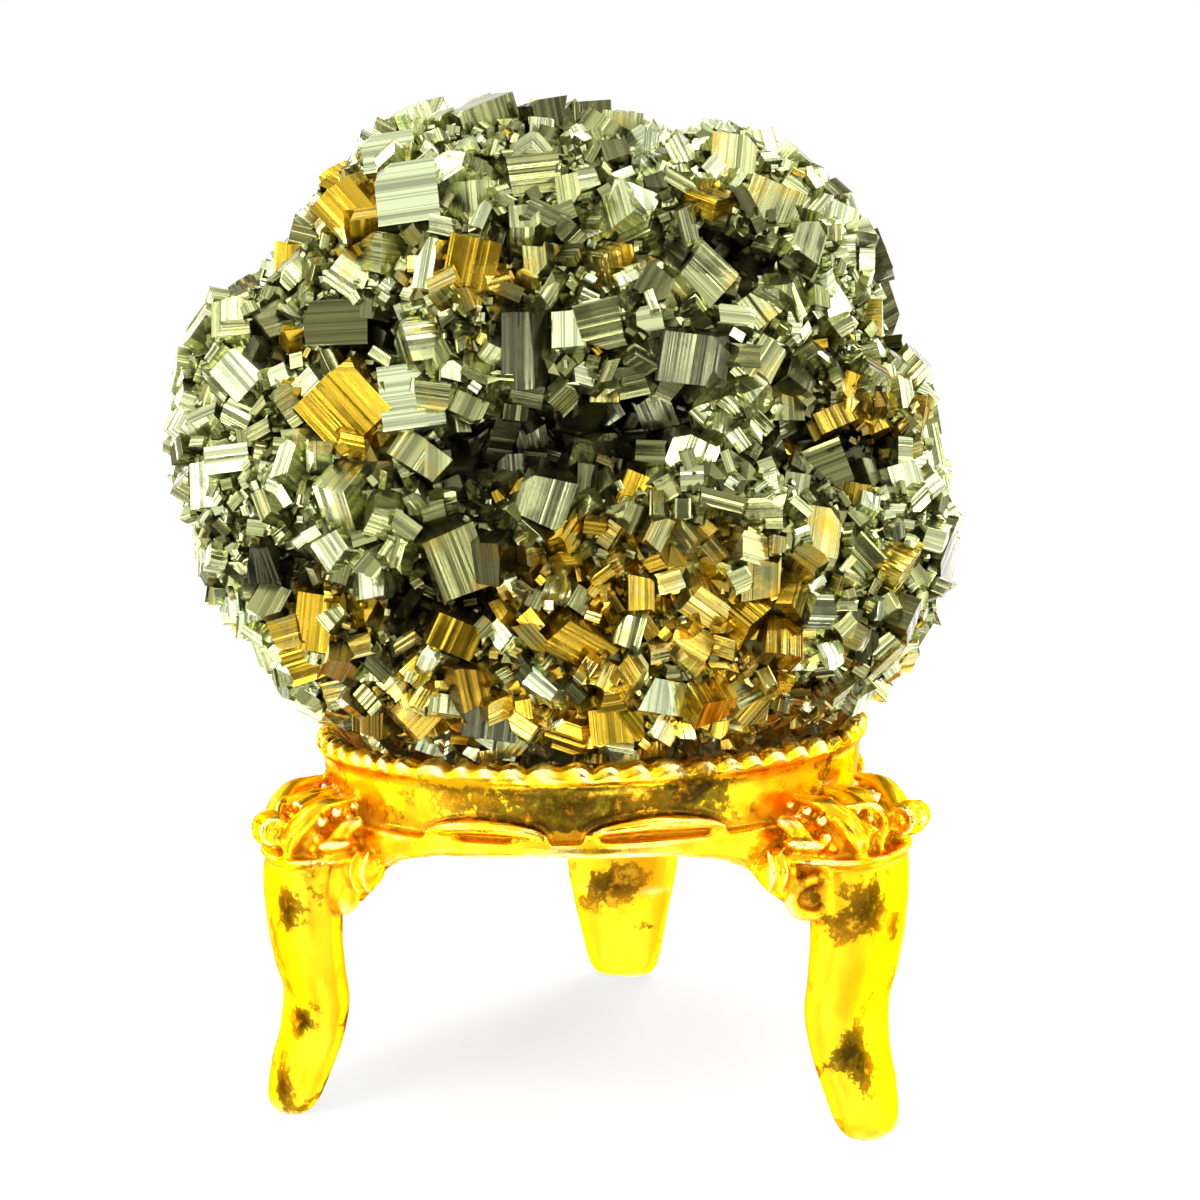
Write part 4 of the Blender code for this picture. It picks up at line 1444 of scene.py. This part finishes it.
def makeStage():
    selectNothing()
    bpy.ops.mesh.primitive_circle_add(
        vertices=96, radius=floorFinish["radius"], fill_type="NGON", location=(0, 0, -floorFinish["under"]))
    floor = bpy.context.object
    floor.name = "floor"
    material, tree, shader = newMaterial("whiteFloor")
    speckle = addNoise(tree, objectPlace(tree), floorFinish["speckleScale"])
    tree.links.new(addRamp(tree, speckle, floorFinish["colours"]), shader.inputs["Base Color"])
    shader.inputs["Roughness"].default_value = floorFinish["roughness"]
    shader.inputs["Specular IOR Level"].default_value = 0
    floor.data.materials.append(material)
    floor.visible_glossy = False


studio = {
    # what the metal reflects: a room of light and dark panels, by noise over all directions
    "panelScale": 2.4,
    "panels": [(0.0, grey(0.06)), (0.38, grey(0.09)), (0.45, (0.36, 0.37, 0.33)), (0.52, grey(0.9)),
               (0.6, grey(1))],
    "strength": 1.45,
    "lamps": [(0.6, grey(0)), (0.64, grey(0.16)), (0.7, grey(0.2)), (0.72, grey(1))],
    "lampScale": 5.5,
    "lampStrength": 14,
    "ambient": 1.5,
    # a soft window above the camera and the dark place below it: direction, how near counts, brightness
    "window": ((-0.15, -0.84, 0.5), [(0.88, grey(0)), (0.94, grey(1))], (1.15, 1.15, 1.1)),
    "shadowed": ((0.05, -0.98, -0.14), [(0.95, grey(0)), (0.98, grey(1))], (0.12, 0.11, 0.08)),
}


def addSpot(tree, direction, room, towards, edge, colour):
    # puts a round soft patch of another brightness into the room
    unit = addNode(tree, "ShaderNodeVectorMath", {0: direction}, operation="NORMALIZE").outputs["Vector"]
    near = addNode(tree, "ShaderNodeVectorMath", {0: unit}, operation="DOT_PRODUCT")
    near.inputs[1].default_value = Vector(towards).normalized()
    inside = addRamp(tree, near.outputs["Value"], edge)
    return addMix(tree, inside, room, colour), inside


def makeWorld():
    world = bpy.data.worlds.new("studio")
    bpy.context.scene.world = world
    world.use_nodes = True
    tree = world.node_tree
    backdrop = tree.nodes["Background"]
    backdrop.inputs["Color"].default_value = (1, 1, 1, 1)
    backdrop.inputs["Strength"].default_value = 1.0
    direction = addNode(tree, "ShaderNodeTexCoord").outputs["Generated"]
    panels = addNoise(tree, direction, studio["panelScale"], Detail=1.5)
    lamps = addNoise(tree, direction, studio["lampScale"], Detail=0)
    walls = addMix(tree, 1.0, addRamp(tree, panels, studio["panels"]), grey(studio["strength"]), "MULTIPLY")
    spotlights = addRamp(tree, lamps, studio["lamps"])
    for spot in ("window", "shadowed"):
        walls, inside = addSpot(tree, direction, walls, *studio[spot])
        spotlights = addMix(tree, inside, spotlights, (0, 0, 0))
    room = addNode(tree, "ShaderNodeBackground", {"Color": walls})
    bright = addNode(tree, "ShaderNodeBackground", {"Color": spotlights, "Strength": studio["lampStrength"]})
    reflected = addNode(tree, "ShaderNodeAddShader")
    tree.links.new(room.outputs[0], reflected.inputs[0])
    tree.links.new(bright.outputs[0], reflected.inputs[1])
    ambient = addNode(tree, "ShaderNodeBackground", {"Strength": studio["ambient"]})
    path = addNode(tree, "ShaderNodeLightPath")
    lit = addNode(tree, "ShaderNodeMixShader", {"Fac": path.outputs["Is Glossy Ray"]})
    tree.links.new(ambient.outputs[0], lit.inputs[1])
    tree.links.new(reflected.outputs[0], lit.inputs[2])
    seen = addNode(tree, "ShaderNodeMixShader", {"Fac": path.outputs["Is Camera Ray"]})
    tree.links.new(lit.outputs[0], seen.inputs[1])
    tree.links.new(backdrop.outputs[0], seen.inputs[2])
    tree.links.new(seen.outputs[0], tree.nodes["World Output"].inputs["Surface"])


# place, size and brightness of each soft box, and the point that all of them face
softBoxes = {
    "keyBox": ((-0.35, -0.45, 0.55), (0.34, 0.4), 3.5),
    "fillBox": ((0.55, -0.35, 0.25), (0.16, 0.4), 3),
    "topStrip": ((0.05, -0.1, 0.65), (0.5, 0.2), 3),
    "rearBox": ((0.3, 0.6, 0.4), (0.4, 0.26), 4),
    "rearSide": ((-0.55, 0.35, 0.2), (0.16, 0.4), 3),
}
litPoint = Vector((0, 0, 0.04))


def makeLights():
    for name, (place, size, radiance) in softBoxes.items():
        light = bpy.data.lights.new(name, "AREA")
        light.shape = "RECTANGLE"
        light.size, light.size_y = size
        light.energy = radiance * size[0] * size[1] * math.pi
        lamp = addObject(name, light)
        lamp.location = place
        lamp.rotation_euler = (litPoint - Vector(place)).to_track_quat("-Z", "Y").to_euler()
        lamp.visible_camera = False
        lamp.visible_glossy = False


# the camera's place from the foot of the ring's axis in mm, its angles in degrees, and its lens in mm
view = {"offset": (-0.65, -137, 49.2), "down": 5.44, "right": 0.51, "roll": -0.1, "lens": 54, "sensor": 36}


def makeCamera():
    camera = bpy.data.cameras.new("camera")
    camera.lens = view["lens"]
    camera.sensor_width = view["sensor"]
    camera.sensor_fit = "HORIZONTAL"
    camera.clip_start = 0.005
    holder = addObject("camera", camera)
    holder.location = Vector((ringAxis.x, ringAxis.y, 0)) + Vector(view["offset"]) * mm
    down, right = math.radians(view["down"]), math.radians(view["right"])
    holder.rotation_euler = (math.pi / 2 - down, math.radians(view["roll"]), -right)
    bpy.context.scene.camera = holder


pyrite = makePyrite()
cluster = buildCluster()
for crystals in cluster:
    crystals.data.materials.append(pyrite)
    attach(crystals, "root")
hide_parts("pyrite_cluster")

stand = buildStand()
stand.data.materials.append(makeGold())
# the stand throws no yellow light on the floor, so its shadow stays grey
stand.visible_diffuse = False
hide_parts("stand")
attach(stand, "root")

makeStage()
makeWorld()
makeLights()
makeCamera()
bpy.context.scene.view_settings.view_transform = "Standard"
print("floor, light and camera set")
